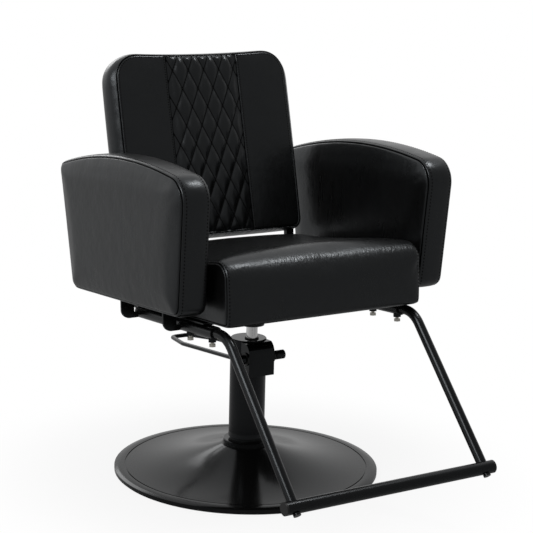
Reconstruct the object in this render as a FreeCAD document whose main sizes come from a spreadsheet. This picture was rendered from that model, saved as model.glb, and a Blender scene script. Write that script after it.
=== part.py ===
"""Hairdressing chair on a round base with a hydraulic pump.

Millimetres, +Z up. The origin is where the column's axis meets the floor, and the chair faces -Y, so the
sitter's left is +X. The seat, its frame and its footrest are drawn level, in a frame of their own that is
then raised over the rod and tilted back by seat_tilt. The back has a frame of its own on the seat.
"""
import FreeCAD, Part
import math
import os
import re

import Sketcher
from FreeCAD import Placement, Rotation, Vector

SIZES = (
    ("base_radius", 305, "round base, outer radius"),
    ("rim_width", 23.5, "flat rim outside the groove"),
    ("rim_edge", 8, "height of the rim's outer face"),
    ("rim_rise", 11, "height of the rim at the groove"),
    ("rim_crown", 60, "radius of the rim's rounded top"),
    ("groove_width", 3, "groove inside the rim"),
    ("groove_depth", 2, "depth of that groove"),
    ("dome_height", 64, "top of the base above the floor"),
    ("dome_curve", 660, "radius of the dome's hollow curve"),
    ("dome_wall", 5, "thickness of the base"),
    ("dome_ledge", 3.5, "flat top of the dome outside the collar"),
    ("base_bore", 20, "hole in the middle of the base"),
    ("foot_height", 4, "rubber ring under the rim"),
    ("foot_width", 14, "width of that ring"),
    ("foot_inset", 5, "ring's distance from the edge of the base"),
    ("stiffener_inset", 3, "edge of the plate under the dome, inside the flat top"),
    ("stiffener_height", 6, "thickness of that plate"),
    ("base_bolt_radius", 4, "bolts of the base"),
    ("base_bolt_head", 5.3, "height of their heads"),
    ("base_bolt_flats", 13, "width of their heads across flats"),
    ("flange_width", 8.6, "flange of the pump's foot outside the column"),
    ("flange_height", 6, "thickness of that flange"),
    ("collar_wall", 3.5, "wall of the collar round the flange"),
    ("collar_height", 13, "height of the collar"),
    ("collar_bevel", 1.5, "bevel on the collar's top edge"),
    ("column_clear", 1.9, "room between the pump cylinder and the column sleeve"),
    ("column_wall", 2.5, "wall of the sleeve"),
    ("column_height", 154, "length of the sleeve"),
    ("column_gap", 7, "open ring between the collar and the sleeve"),
    ("column_flare", 1, "flare at the sleeve's lower end"),
    ("column_flare_height", 10, "height of that flare"),
    ("spigot_height", 36, "pump foot above the dome"),
    ("drum_height", 62, "round part of the pump housing"),
    ("housing_wall", 4, "wall of the housing"),
    ("housing_roof", 10, "roof over the space inside the housing"),
    ("brow_drop", 5, "flat front face's top below the round part's"),
    ("shoulder_depth", 14, "depth of the sloped brow"),
    ("shoulder_rise", 19, "height of the sloped brow"),
    ("shoulder_round", 28, "radius of the sloped brow"),
    ("cheek_room", 2.5, "room between the rocker and the housing's cheek"),
    ("rocker_room", 2, "room before the rocker's hub"),
    ("barrel_room", 3, "room behind the plunger's barrel"),
    ("cap_height", 17, "cap of the pump"),
    ("cap_bevel", 1.5, "bevel on the cap's top edge"),
    ("piston_offset", 14, "piston's axis before the column's axis"),
    ("rod_radius", 13, "piston rod"),
    ("rod_stand", 71, "rod above the pump's cap"),
    ("seal_width", 3, "width of the seal round the rod"),
    ("seal_height", 8, "height of that seal"),
    ("seal_stand", 2, "seal's height over the cap"),
    ("cylinder_wall", 3, "wall of the pump cylinder"),
    ("cylinder_floor", 16, "floor of the cylinder above the dome"),
    ("piston_radius", 19.95, "piston head"),
    ("piston_rest", 32, "piston head above the cylinder's floor"),
    ("piston_height", 20, "height of the piston head"),
    ("ring_height", 6, "piston's ring"),
    ("ring_depth", 2.4, "depth of the ring's groove"),
    ("tail_radius", 8, "thin tail of the rod in the piston head"),
    ("nut_height", 9, "nut under the piston head"),
    ("nut_flats", 24, "width of that nut across flats"),
    ("tail_stand", 2, "tail's length under its nut"),
    ("fit_gap", 0.05, "clearance of fits and running shafts"),
    ("shaft_clear", 1, "room between the lever shaft and the pump cylinder"),
    ("shaft_drop", 21, "lever shaft below the top of the housing's round part"),
    ("shaft_radius", 6, "lever shaft between the cheeks"),
    ("stub_radius", 10.5, "stubs at the ends of the shaft"),
    ("stub_length", 30, "length of a stub"),
    ("stub_gap", 0.3, "play between a stub and its bush"),
    ("bush_radius", 9, "bushes of the lever shaft"),
    ("bush_flange", 15, "their outer flanges"),
    ("bush_flange_depth", 3, "thickness of those flanges"),
    ("lever_radius", 5, "lever bar"),
    ("lever_gap", 1.6, "room between the lever's legs and the column"),
    ("lever_nose", 12, "leg's length before the shaft"),
    ("lever_leg", 262, "leg's length behind the shaft"),
    ("lever_reach", 358, "end of the lever behind the shaft"),
    ("lever_end_half", 24, "half the length of the lever's end bar"),
    ("lever_bend", 16, "bends of the lever bar"),
    ("lever_slope", 5, "downward slope of the lever, degrees"),
    ("rocker_x", 23.5, "rocker arm beside the axis"),
    ("rocker_width", 8, "width of the rocker"),
    ("rocker_hub", 8, "radius of the rocker's hub"),
    ("rocker_reach", 10, "rocker's nose behind the shaft"),
    ("rocker_nose", 4, "radius of that nose"),
    ("plunger_radius", 3, "plunger of the pump"),
    ("plunger_gap", 0.3, "play under the rocker's nose"),
    ("barrel_wall", 2, "wall of the plunger's barrel"),
    ("barrel_height", 16, "height of the barrel"),
    ("plunger_dip", 9, "plunger's length in its barrel"),
    ("spring_wire", 2, "wall of the return spring on the shaft"),
    ("spring_length", 16, "length of that spring"),
    ("seat_rise", 42, "seat frame's origin above the rod"),
    ("seat_tilt", 4, "backward tilt of the seat, degrees"),
    ("hub_radius", 28, "socket on the rod"),
    ("socket_depth", 41, "depth of the socket"),
    ("washer_height", 3, "thrust washer in the socket"),
    ("frame_top", 18, "seat frame's top below its origin"),
    ("flange_plate", 4, "flanges of the cross members"),
    ("flange_depth", 35, "depth of those flanges"),
    ("plate_height", 6, "seat plate"),
    ("plate_half", 100, "half the width of the seat plate"),
    ("member_drop", 28, "height of the cross members"),
    ("member_wall", 5, "web of the cross members and arm brackets"),
    ("member_front", 115, "front member before the seat frame's origin"),
    ("member_rear", 75, "rear member behind the seat frame's origin"),
    ("seat_bolt_x", 80, "bolts of the seat plate beside the middle"),
    ("seat_bolt_radius", 4, "those bolts"),
    ("seat_bolt_flats", 13, "width of their heads across flats"),
    ("seat_bolt_head", 5.3, "height of their heads"),
    ("seat_bolt_grip", 14, "bolt's length in the seat board"),
    ("receiver_inset", 9, "receiver tubes inside the seat cushion's sides"),
    ("receiver_radius", 14.5, "receiver tubes"),
    ("receiver_front", 252, "mouth of a receiver before the frame's origin"),
    ("strip_height", 3, "strip between a receiver and the seat"),
    ("strip_width", 24, "width of that strip"),
    ("strip_inset", 32, "strip's end behind the receiver's mouth"),
    ("bracket_reach", 21, "arm bracket's web under the arm"),
    ("bracket_gap", 3.5, "bracket's upright edge beside its receiver"),
    ("bracket_lip", 4, "bracket's lower lip beside the receiver's axis"),
    ("bracket_drop", 48, "lower edge of an arm bracket below the frame's origin"),
    ("bracket_corner", 20, "rounded lower corner of a bracket"),
    ("bracket_foot", 72, "length of the bracket's flange under the arm"),
    ("bracket_foot_depth", 40, "depth of that flange"),
    ("arm_bolt_radius", 3, "bolts of the arms"),
    ("arm_bolt_head", 4, "height of their heads"),
    ("arm_bolt_flats", 10, "width of their heads across flats"),
    ("arm_bolt_step", 24, "distance between the two bolts of a bracket"),
    ("arm_bolt_grip", 30, "bolt's length in the arm board"),
    ("clamp_front", 236, "front clamp bolts before the frame's origin"),
    ("clamp_rear", 145, "rear clamp bolts before the frame's origin"),
    ("clamp_radius", 4, "clamp bolts"),
    ("clamp_head", 6, "height of a clamp bolt's head"),
    ("clamp_flats", 13, "width of that head across flats"),
    ("clamp_nut_flats", 16, "nut welded under a receiver, across flats"),
    ("clamp_nut_height", 9, "height of that nut"),
    ("clamp_nut_seat", 3, "nut's depth on the receiver's round underside"),
    ("clamp_stand", 4, "thread that shows between the nut and the head"),
    ("tip_gap", 0.3, "clearance of sliding and turning parts"),
    ("board_height", 18, "seat board"),
    ("board_margin", 12, "board's edges inside the seat cushion"),
    ("seat_half", 250, "half the width of the seat cushion"),
    ("seat_front", 302, "front of the cushion before the frame's origin"),
    ("seat_rear", 143, "rear of the cushion"),
    ("seat_front_height", 125, "front of the cushion's top, above the frame's origin"),
    ("seat_rear_height", 91, "rear of the cushion's top"),
    ("seat_front_round", 30, "rounding along the cushion's front edge"),
    ("seat_rear_round", 20, "rounding along the cushion's rear edge"),
    ("seat_top_curve", 6000, "radius of the cushion's top from front to rear"),
    ("seat_crown", 9, "rise of the cushion's middle over its sides"),
    ("seat_side_draw", 9, "drawn-in edge of the cushion's sides"),
    ("seat_side_depth", 14, "depth of that edge"),
    ("arm_gap", 20, "room between an arm and the seat cushion"),
    ("arm_thickness", 79, "thickness of an arm"),
    ("arm_bottom", 13, "underside of an arm above the frame's origin"),
    ("arm_front_foot", 290, "arm's lower front corner before the frame's origin"),
    ("arm_front_head", 312, "arm's upper front corner"),
    ("arm_rear_foot", 200, "arm's lower rear corner behind the frame's origin"),
    ("arm_rear_head", 234, "arm's upper rear corner"),
    ("arm_front_shoulder", 299, "front end of the arm's top"),
    ("arm_rear_shoulder", 295, "rear end of the arm's top"),
    ("arm_top_curve", 1200, "radius of the arm's top"),
    ("arm_corner", 22, "rounding of the lower corners"),
    ("arm_front_round", 38, "rounding of the upper front corner"),
    ("arm_rear_round", 16, "rounding of the upper rear corner"),
    ("arm_crown", 3, "swell of an arm's faces"),
    ("arm_face_inset", 60, "flat middle of an arm's face, inside its outline"),
    ("arm_seam_inset", 7, "drawn-in seam round the face"),
    ("arm_seam_depth", 14, "depth of the rounded edge behind that seam"),
    ("arm_board_wall", 18, "board inside an arm"),
    ("arm_board_cover", 50, "padding round that board"),
    ("back_foot", 117, "lower edge of the back above the seat frame's origin"),
    ("back_recline", 10, "lean of the back on the seat, degrees"),
    ("back_half", 215, "half the width of the back between its seams"),
    ("back_height", 412, "height of the back"),
    ("back_thickness", 72, "thickness of the back"),
    ("back_round", 38, "upper corners of the back"),
    ("back_foot_round", 14, "lower corners of the back"),
    ("back_swell", 14, "swell of the back's sides past its seam"),
    ("back_face_inset", 26, "flat middle of the back's front, inside its sides"),
    ("back_face_trim", 9, "the same at its top and bottom"),
    ("back_seam_depth", 7, "depth of the seam behind the front"),
    ("back_board_wall", 12, "board inside the back"),
    ("back_board_cover", 11, "padding beside that board"),
    ("back_board_foot", 14, "padding under and over that board"),
    ("upright_edge", 8, "upright's middle inside the board's edge"),
    ("upright_width", 20, "width of an upright"),
    ("upright_depth", 12, "depth of an upright"),
    ("upright_gap", 5, "upright behind the seat cushion"),
    ("upright_cover", 26, "upright's middle behind the front of the back"),
    ("upright_mouth", 3, "room round an upright where it enters the back"),
    ("upright_drop", 34, "foot of an upright below the frame's origin"),
    ("upright_head", 258, "upright's length inside the back"),
    ("upright_bend", 14, "bends of an upright"),
    ("screw_radius", 2.5, "screws of the back board"),
    ("screw_inset", 40, "screws inside the ends of the joint of board and upright"),
    ("screw_grip", 9, "screw's length in the board"),
    ("panel_half", 93.5, "half the width of the quilted panel"),
    ("panel_foot", 12, "back below and above the panel"),
    ("panel_depth", 7, "thickness of the panel"),
    ("diamond_width", 46, "quilted diamonds, across"),
    ("diamond_height", 94, "quilted diamonds, upright"),
    ("quilt_width", 3, "width of a sewn channel"),
    ("quilt_depth", 3, "depth of a sewn channel"),
    ("tube_radius", 11, "footrest tubes"),
    ("tube_wall", 2, "wall of those tubes"),
    ("tube_inner_end", 20, "tube's end in the receiver, before the frame's origin"),
    ("footrest_reach", 44, "bend of a footrest tube before its receiver"),
    ("footrest_bend", 64, "radius of that bend"),
    ("footrest_slope", 51.3, "slope of the footrest's legs, degrees"),
    ("footrest_leg", 386, "leg from its bend to the foot bar"),
    ("bar_radius", 14, "foot bar"),
    ("bar_wall", 2, "wall of the foot bar"),
    ("bar_overhang", 20, "foot bar past the footrest tubes"),
    ("end_cap", 4, "thickness of its end caps"),
    ("end_cap_plug", 12, "cap's plug in the bar"),
    ("bar_bolt_radius", 4, "bolts under the foot bar"),
    ("bar_bolt_head", 5, "height of their heads"),
    ("bar_bolt_head_radius", 8, "radius of their heads"),
    ("bar_plug", 25, "threaded plug in a tube's end"),
)

LEFT_OF_PATH = 1
RIGHT_OF_PATH = -1
SIDES = (("left", 1), ("right", -1))
BASE_BOLTS = 4

doc = FreeCAD.newDocument("hairdressing_chair")
sheet = doc.addObject("Spreadsheet::Sheet", "Sizes")
for row, (alias, size, meaning) in enumerate(SIZES, 1):
    sheet.set(f"A{row}", meaning)
    sheet.set(f"B{row}", str(size))
    sheet.setAlias(f"B{row}", alias)
doc.recompute()

pieces = []


# Expressions of the sheet's sizes

def bound(text):
    """The expression with the sheet's name before each size, as an object outside the sheet needs it."""
    return re.sub(r"[a-z]\w*(?!\w*\()", r"Sizes.\g<0>", text)


def number(text):
    """The number that an expression of sizes gives."""
    return float(sheet.evalExpression(text))


def bind(target, name, text):
    """Tie one property of an object to an expression of sizes."""
    target.setExpression(name, bound(text))


# Heights and radii of the base, the column and the pump
CYLINDER_BORE = "(piston_radius + fit_gap)"
CYLINDER_RADIUS = f"({CYLINDER_BORE} + cylinder_wall)"
COLUMN_BORE = f"(piston_offset + {CYLINDER_RADIUS} + column_clear)"
COLUMN_RADIUS = f"({COLUMN_BORE} + column_wall)"
SPIGOT_RADIUS = f"({COLUMN_BORE} - fit_gap)"
SPIGOT_TOP = "(dome_height + spigot_height)"
FLANGE_RADIUS = f"({COLUMN_RADIUS} + flange_width)"
FLANGE_TOP = "(dome_height + flange_height)"
COLLAR_RADIUS = f"({FLANGE_RADIUS} + fit_gap + collar_wall)"
COLLAR_TOP = "(dome_height + collar_height)"
DOME_FLAT = f"({COLLAR_RADIUS} + dome_ledge)"
DOME_UNDER = "(dome_height - dome_wall)"
STIFFENER_UNDER = f"({DOME_UNDER} - stiffener_height)"
RIM_INNER = "(base_radius - rim_width)"
GROOVE_INNER = f"({RIM_INNER} - groove_width)"
RIM_TOP = "(foot_height + rim_rise)"
BOLT_CIRCLE = f"(({FLANGE_RADIUS} + {SPIGOT_RADIUS}) / 2)"
COLUMN_FOOT = f"({COLLAR_TOP} + column_gap)"
HOUSING_BOTTOM = f"({COLUMN_FOOT} + column_height)"
HOUSING_FLOOR = f"({HOUSING_BOTTOM} + housing_wall)"
HOUSING_TOP = f"({HOUSING_BOTTOM} + drum_height)"
CAVITY_TOP = f"({HOUSING_TOP} - housing_roof)"
CAP_TOP = f"({HOUSING_TOP} + cap_height)"
CYLINDER_FOOT = "(dome_height + cylinder_floor)"
PISTON_AT = ("0", "-piston_offset")
PISTON_BOTTOM = f"({CYLINDER_FOOT} + piston_rest)"
PISTON_TOP = f"({PISTON_BOTTOM} + piston_height)"
ROD_TOP = f"({CAP_TOP} + rod_stand)"
SHAFT_Y = f"-(piston_offset + {CYLINDER_RADIUS} + shaft_clear + shaft_radius)"
SHAFT_Z = f"({HOUSING_TOP} - shaft_drop)"
HOUSING_FRONT = f"({SHAFT_Y} - rocker_hub - rocker_room - housing_wall)"
CHEEK_INNER = "(rocker_x + rocker_width / 2 + cheek_room)"
CHEEK_OUTER = f"({CHEEK_INNER} + housing_wall)"
PLUNGER_Y = f"({SHAFT_Y} + rocker_reach)"
BARREL_RADIUS = "(plunger_radius + fit_gap + barrel_wall)"
LEVER_HALF = f"({COLUMN_RADIUS} + lever_gap + lever_radius)"

# Places on the seat, in its own frame
SEAT_ORIGIN = f"({ROD_TOP} + seat_rise)"
FRAME_TOP = "-frame_top"
FLANGE_UNDER = "(-frame_top - flange_plate)"
PLATE_UNDER = f"({FLANGE_UNDER} - plate_height)"
RECEIVER_X = "(seat_half - receiver_inset)"
RECEIVER_Z = "(-frame_top - strip_height - receiver_radius)"
RECEIVER_REAR = "(member_rear + member_wall / 2)"
RECEIVER_LENGTH = f"(receiver_front + {RECEIVER_REAR})"
CLAMP_NUT_FOOT = f"({RECEIVER_Z} - receiver_radius + clamp_nut_seat - clamp_nut_height)"
CLAMP_ROWS = (("front", "-clamp_front"), ("rear", "-clamp_rear"))
MEMBERS = (("front", "-member_front", 1), ("rear", "member_rear", -1))
ARM_INNER = "(seat_half + arm_gap)"
ARM_MIDDLE = f"({ARM_INNER} + arm_thickness / 2)"
BRACKET_ROOT = f"({RECEIVER_X} + receiver_radius + bracket_gap)"
BRACKET_END = f"({ARM_INNER} + bracket_reach)"
BRACKET_FOOT_UNDER = "(arm_bottom - member_wall)"
UPRIGHT_Y = "(seat_rear + upright_gap + upright_depth / 2)"
LEG_END_Y = "(-receiver_front - footrest_reach - footrest_leg * cos(footrest_slope))"
LEG_END_Z = f"({RECEIVER_Z} - footrest_leg * sin(footrest_slope))"
BAR_HALF = f"({RECEIVER_X} + bar_overhang)"

# Places on the back, in its own frame: depths behind its front, heights over its lower edge
BACK_FRONT = f"({UPRIGHT_Y} - upright_cover)"
UPRIGHT_FACE = "(upright_cover * cos(back_recline) - upright_depth / 2)"
UPRIGHT_BEND = "(upright_cover * sin(back_recline))"
BOARD_FACE = f"({UPRIGHT_FACE} + upright_depth)"
BACK_BOARD_HALF = "(back_half + back_swell - back_board_cover)"
UPRIGHT_X = f"({BACK_BOARD_HALF} - upright_edge)"
SCREW_HEIGHTS = ("back_board_foot + screw_inset", f"{UPRIGHT_BEND} + upright_head - screw_inset")
PANEL_HEIGHT = "(back_height - 2 * panel_foot)"

# Frames that pieces are drawn in: where their origin is, and how far they lean back about X
FLOOR = ("0", "0", "0")
SEAT = ("0", SEAT_ORIGIN, "seat_tilt")
BACK = (
    f"{BACK_FRONT} * cos(seat_tilt) + back_foot * sin(seat_tilt)",
    f"{SEAT_ORIGIN} + back_foot * cos(seat_tilt) - {BACK_FRONT} * sin(seat_tilt)",
    "seat_tilt + back_recline",
)
LEVER = (SHAFT_Y, SHAFT_Z, "lever_slope")


def finish(piece, label, frame=FLOOR):
    """Name a finished piece, set it in its frame and list it for writing."""
    piece.Label = label
    y, z, lean = frame
    piece.Placement = Placement(Vector(), Rotation(Vector(-1, 0, 0), 1))
    bind(piece, "Placement.Base.y", y)
    bind(piece, "Placement.Base.z", z)
    bind(piece, "Placement.Rotation.Angle", lean)
    pieces.append(piece)
    return piece


# Solids that stand alone or are joined and cut

AXES = {"x": Rotation(Vector(0, 1, 0), 90), "y": Rotation(Vector(1, 0, 0), -90), "z": Rotation()}


def put(solid, at, axis="z"):
    """Move a solid to a point given by three expressions, with its own Z along the axis."""
    solid.Placement = Placement(Vector(), AXES[axis])
    for letter, text in zip("xyz", at):
        bind(solid, f"Placement.Base.{letter}", text)
    return solid


def cylinder(radius, height, at=("0", "0", "0"), axis="z"):
    solid = doc.addObject("Part::Cylinder", "cylinder")
    bind(solid, "Radius", radius)
    bind(solid, "Height", height)
    return put(solid, at, axis)


def box(length, width, height, at):
    solid = doc.addObject("Part::Box", "box")
    bind(solid, "Length", length)
    bind(solid, "Width", width)
    bind(solid, "Height", height)
    return put(solid, at)


def hexagon(flats, height, at):
    """Upright six-sided prism, its width given across flats."""
    solid = doc.addObject("Part::Prism", "hexagon")
    solid.Polygon = 6
    bind(solid, "Circumradius", f"{flats} / (2 * cos(30))")
    bind(solid, "Height", height)
    return put(solid, at)


def join(*solids):
    whole = doc.addObject("Part::MultiFuse", "join")
    whole.Shapes = list(solids)
    return whole


def cut(base, *tools):
    rest = doc.addObject("Part::Cut", "cut")
    rest.Base = base
    rest.Tool = tools[0] if len(tools) == 1 else join(*tools)
    return rest


def group(*solids):
    """Separate solids that share one node, such as equal bolts."""
    together = doc.addObject("Part::Compound", "group")
    together.Links = list(solids)
    return together


def ring(outer, inner, height, at=("0", "0", "0"), axis="z"):
    return cut(cylinder(outer, height, at, axis), cylinder(inner, height, at, axis))


# Sketches whose points are tied to the sheet

def new_body(name):
    return doc.addObject("PartDesign::Body", name)


def new_sketch(body, plane, offset="0"):
    """Sketch on one of the body's own planes, moved along that plane's normal."""
    sketch = body.newObject("Sketcher::SketchObject", f"{body.Name}_sketch")
    planes = {feature.Role: feature for feature in body.Origin.OriginFeatures}
    sketch.AttachmentSupport = [(planes[f"{plane}_Plane"], "")]
    sketch.MapMode = "FlatFace"
    bind(sketch, "AttachmentOffset.Base.z", offset)
    return sketch


def hold(sketch, constraints, texts):
    """Add dimensions to a sketch, each tied to its expression."""
    for index, text in zip(sketch.addConstraint(constraints), texts):
        bind(sketch, f"Constraints[{index}]", text)


def pin(sketch, geometry, position, point):
    """Hold one end or centre at a point given by two expressions."""
    kinds = ("DistanceX", "DistanceY")
    limits = []
    for kind, text in zip(kinds, point):
        limits.append(Sketcher.Constraint(kind, -1, 1, geometry, position, number(text)))
    hold(sketch, limits, point)


def minor_arc(start, end, radius, side):
    """Arc of under a half circle from start to end, its centre on one side of the way there."""
    chord = end - start
    normal = Vector(-chord.y, chord.x, 0).normalize()
    rise = math.sqrt(radius**2 - (chord.Length / 2) ** 2)
    centre = (start + end) / 2 + normal * rise * side
    first, last = (start, end) if side == LEFT_OF_PATH else (end, start)
    angles = [math.atan2(p.y - centre.y, p.x - centre.x) for p in (first, last)]
    if angles[1] < angles[0]:
        angles[1] += 2 * math.pi
    return Part.ArcOfCircle(Part.Circle(centre, Vector(0, 0, 1), radius), *angles)


def outline(sketch, corners, arcs=None):
    """Closed outline through corners; arcs gives a radius and its centre's side, by the edge's number."""
    arcs = arcs or {}
    places = [Vector(number(x), number(y), 0) for x, y in corners]
    ends = [(2, 1) if arcs.get(i, ("", 0))[1] == RIGHT_OF_PATH else (1, 2) for i in range(len(places))]
    for i, start in enumerate(places):
        end = places[(i + 1) % len(places)]
        if i in arcs:
            radius, side = arcs[i]
            sketch.addGeometry(minor_arc(start, end, number(radius), side))
        else:
            sketch.addGeometry(Part.LineSegment(start, end))
    for i, corner in enumerate(corners):
        following = (i + 1) % len(corners)
        joint = Sketcher.Constraint("Coincident", i, ends[i][1], following, ends[following][0])
        sketch.addConstraint(joint)
        pin(sketch, i, ends[i][0], corner)
    for i, (radius, _) in arcs.items():
        hold(sketch, [Sketcher.Constraint("Radius", i, number(radius))], [radius])


def circle(sketch, centre, radius):
    place = Vector(number(centre[0]), number(centre[1]), 0)
    index = sketch.addGeometry(Part.Circle(place, Vector(0, 0, 1), number(radius)))
    pin(sketch, index, 3, centre)
    hold(sketch, [Sketcher.Constraint("Radius", index, number(radius))], [radius])


def rectangle(sketch, x, y, width, height):
    """Rectangle from its lower left corner."""
    right = f"{x} + {width}"
    top = f"{y} + {height}"
    outline(sketch, [(x, y), (right, y), (right, top), (x, top)])


def route(sketch, corners, radius):
    """Open path of straight runs through corners, every bend with one radius; returns its edges' names."""
    places = [Vector(number(x), number(y), 0) for x, y in corners]
    size = number(radius)
    runs = [(b - a).normalize() for a, b in zip(places, places[1:])]
    trims = [size * math.tan(a.getAngle(b) / 2) for a, b in zip(runs, runs[1:])]
    starts = [places[0]] + [p + d * t for p, d, t in zip(places[1:-1], runs[1:], trims)]
    stops = [p - d * t for p, d, t in zip(places[1:-1], runs, trims)] + [places[-1]]
    lines = [sketch.addGeometry(Part.LineSegment(a, b)) for a, b in zip(starts, stops)]
    pin(sketch, lines[0], 1, corners[0])
    pin(sketch, lines[-1], 2, corners[-1])
    for i, corner in enumerate(corners[1:-1]):
        turn = runs[i].cross(runs[i + 1]).z
        side = LEFT_OF_PATH if turn > 0 else RIGHT_OF_PATH
        first, last = (1, 2) if turn > 0 else (2, 1)
        bend = sketch.addGeometry(minor_arc(stops[i], starts[i + 1], size, side))
        mark = sketch.addGeometry(Part.Point(places[i + 1]), True)
        pin(sketch, mark, 1, corner)
        sketch.addConstraint([
            Sketcher.Constraint("PointOnObject", mark, 1, lines[i]),
            Sketcher.Constraint("PointOnObject", mark, 1, lines[i + 1]),
            Sketcher.Constraint("Tangent", lines[i], 2, bend, first),
            Sketcher.Constraint("Tangent", bend, last, lines[i + 1], 1),
        ])
        hold(sketch, [Sketcher.Constraint("Radius", bend, size)], [radius])
    return [f"Edge{n + 1}" for n in range(len(lines) + len(corners) - 2)]


# Solids made from sketches

def turned(name, corners, arcs=None):
    """Solid of revolution about Z from its outline of radii and heights."""
    body = new_body(name)
    sketch = new_sketch(body, "XZ")
    outline(sketch, corners, arcs)
    turning = body.newObject("PartDesign::Revolution", f"{name}_turning")
    turning.Profile = sketch
    turning.ReferenceAxis = (sketch, ["V_Axis"])
    turning.Angle = 360
    return body


def padded(name, plane, offset, depth, corners, arcs=None):
    """Plate of one outline, thickened along the plane's normal."""
    body = new_body(name)
    sketch = new_sketch(body, plane, offset)
    outline(sketch, corners, arcs)
    pad = body.newObject("PartDesign::Pad", f"{name}_pad")
    pad.Profile = sketch
    bind(pad, "Length", depth)
    return body


def lofted(name, plane, sections, ruled=False):
    """Soft form through sections, each an offset with its corners and arcs."""
    body = new_body(name)
    sketches = []
    for offset, corners, arcs in sections:
        sketches.append(new_sketch(body, plane, offset))
        outline(sketches[-1], corners, arcs)
    loft = body.newObject("PartDesign::AdditiveLoft", f"{name}_loft")
    loft.Profile = sketches[0]
    loft.Sections = sketches[1:]
    loft.Ruled = ruled
    return body


def piped(name, kind, body, profile, path, edges):
    """Sweep a profile along the named edges of a path."""
    pipe = body.newObject(f"PartDesign::{kind}Pipe", f"{name}_pipe")
    pipe.Profile = profile
    pipe.Spine = (path, edges)
    return pipe


# Base, column and pump

def on_bolt_circle(index):
    """Place of one of the base's bolts."""
    angle = f"({360 / BASE_BOLTS} * {index + 0.5})"
    return f"{BOLT_CIRCLE} * cos{angle}", f"{BOLT_CIRCLE} * sin{angle}"


def bolt_holes(radius, bottom, height):
    return [cylinder(radius, height, (*on_bolt_circle(i), bottom)) for i in range(BASE_BOLTS)]


def build_base():
    disc = turned("base_turning", [
        ("base_radius", "foot_height"),
        ("base_radius", "foot_height + rim_edge"),
        (RIM_INNER, RIM_TOP),
        (RIM_INNER, f"{RIM_TOP} - groove_depth"),
        (GROOVE_INNER, f"{RIM_TOP} - groove_depth"),
        (GROOVE_INNER, RIM_TOP),
        (DOME_FLAT, "dome_height"),
        ("base_bore", "dome_height"),
        ("base_bore", DOME_UNDER),
        (DOME_FLAT, DOME_UNDER),
        (GROOVE_INNER, f"{RIM_TOP} - dome_wall"),
        (GROOVE_INNER, "foot_height"),
    ], {1: ("rim_crown", LEFT_OF_PATH), 5: ("dome_curve", RIGHT_OF_PATH), 9: ("dome_curve", LEFT_OF_PATH)})
    clearance = "base_bolt_radius + tip_gap"
    finish(cut(disc, *bolt_holes(clearance, DOME_UNDER, "dome_wall")), "base_disc")
    outer = "base_radius - foot_inset"
    finish(ring(outer, f"{outer} - foot_width", "foot_height"), "floor_ring")
    plate = ring(f"{DOME_FLAT} - stiffener_inset", "base_bore", "stiffener_height",
                 ("0", "0", STIFFENER_UNDER))
    finish(cut(plate, *bolt_holes(clearance, STIFFENER_UNDER, "stiffener_height")), "base_stiffener")
    bolts = []
    for i in range(BASE_BOLTS):
        x, y = on_bolt_circle(i)
        head = hexagon("base_bolt_flats", "base_bolt_head", (x, y, f"{STIFFENER_UNDER} - base_bolt_head"))
        shank = cylinder("base_bolt_radius", "stiffener_height + dome_wall + flange_height",
                         (x, y, STIFFENER_UNDER))
        bolts.append(join(head, shank))
    finish(group(*bolts), "base_bolts")


def build_column():
    foot = turned("foot_turning", [
        ("0", "dome_height"),
        (FLANGE_RADIUS, "dome_height"),
        (FLANGE_RADIUS, FLANGE_TOP),
        (SPIGOT_RADIUS, FLANGE_TOP),
        (SPIGOT_RADIUS, SPIGOT_TOP),
        ("0", SPIGOT_TOP),
    ])
    seat = cylinder(f"{CYLINDER_RADIUS} + fit_gap", f"{SPIGOT_TOP} - {CYLINDER_FOOT}",
                    (*PISTON_AT, CYLINDER_FOOT))
    threads = bolt_holes("base_bolt_radius + fit_gap", "dome_height", "flange_height")
    finish(cut(foot, seat, *threads), "pump_foot")
    finish(turned("base_collar", [
        (f"{FLANGE_RADIUS} + fit_gap", "dome_height"),
        (COLLAR_RADIUS, "dome_height"),
        (COLLAR_RADIUS, f"{COLLAR_TOP} - collar_bevel"),
        (f"{COLLAR_RADIUS} - collar_bevel", COLLAR_TOP),
        (f"{SPIGOT_RADIUS} + fit_gap", COLLAR_TOP),
        (f"{SPIGOT_RADIUS} + fit_gap", f"{FLANGE_TOP} + fit_gap"),
        (f"{FLANGE_RADIUS} + fit_gap", f"{FLANGE_TOP} + fit_gap"),
    ]), "base_collar")
    finish(turned("column_sleeve", [
        (COLUMN_BORE, COLUMN_FOOT),
        (f"{COLUMN_RADIUS} + column_flare", COLUMN_FOOT),
        (COLUMN_RADIUS, f"{COLUMN_FOOT} + column_flare_height"),
        (COLUMN_RADIUS, HOUSING_BOTTOM),
        (COLUMN_BORE, HOUSING_BOTTOM),
    ]), "column_sleeve")
    tube = ring(CYLINDER_RADIUS, CYLINDER_BORE, f"{CAVITY_TOP} - {CYLINDER_FOOT}",
                (*PISTON_AT, CYLINDER_FOOT))
    finish(tube, "pump_cylinder")


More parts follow.
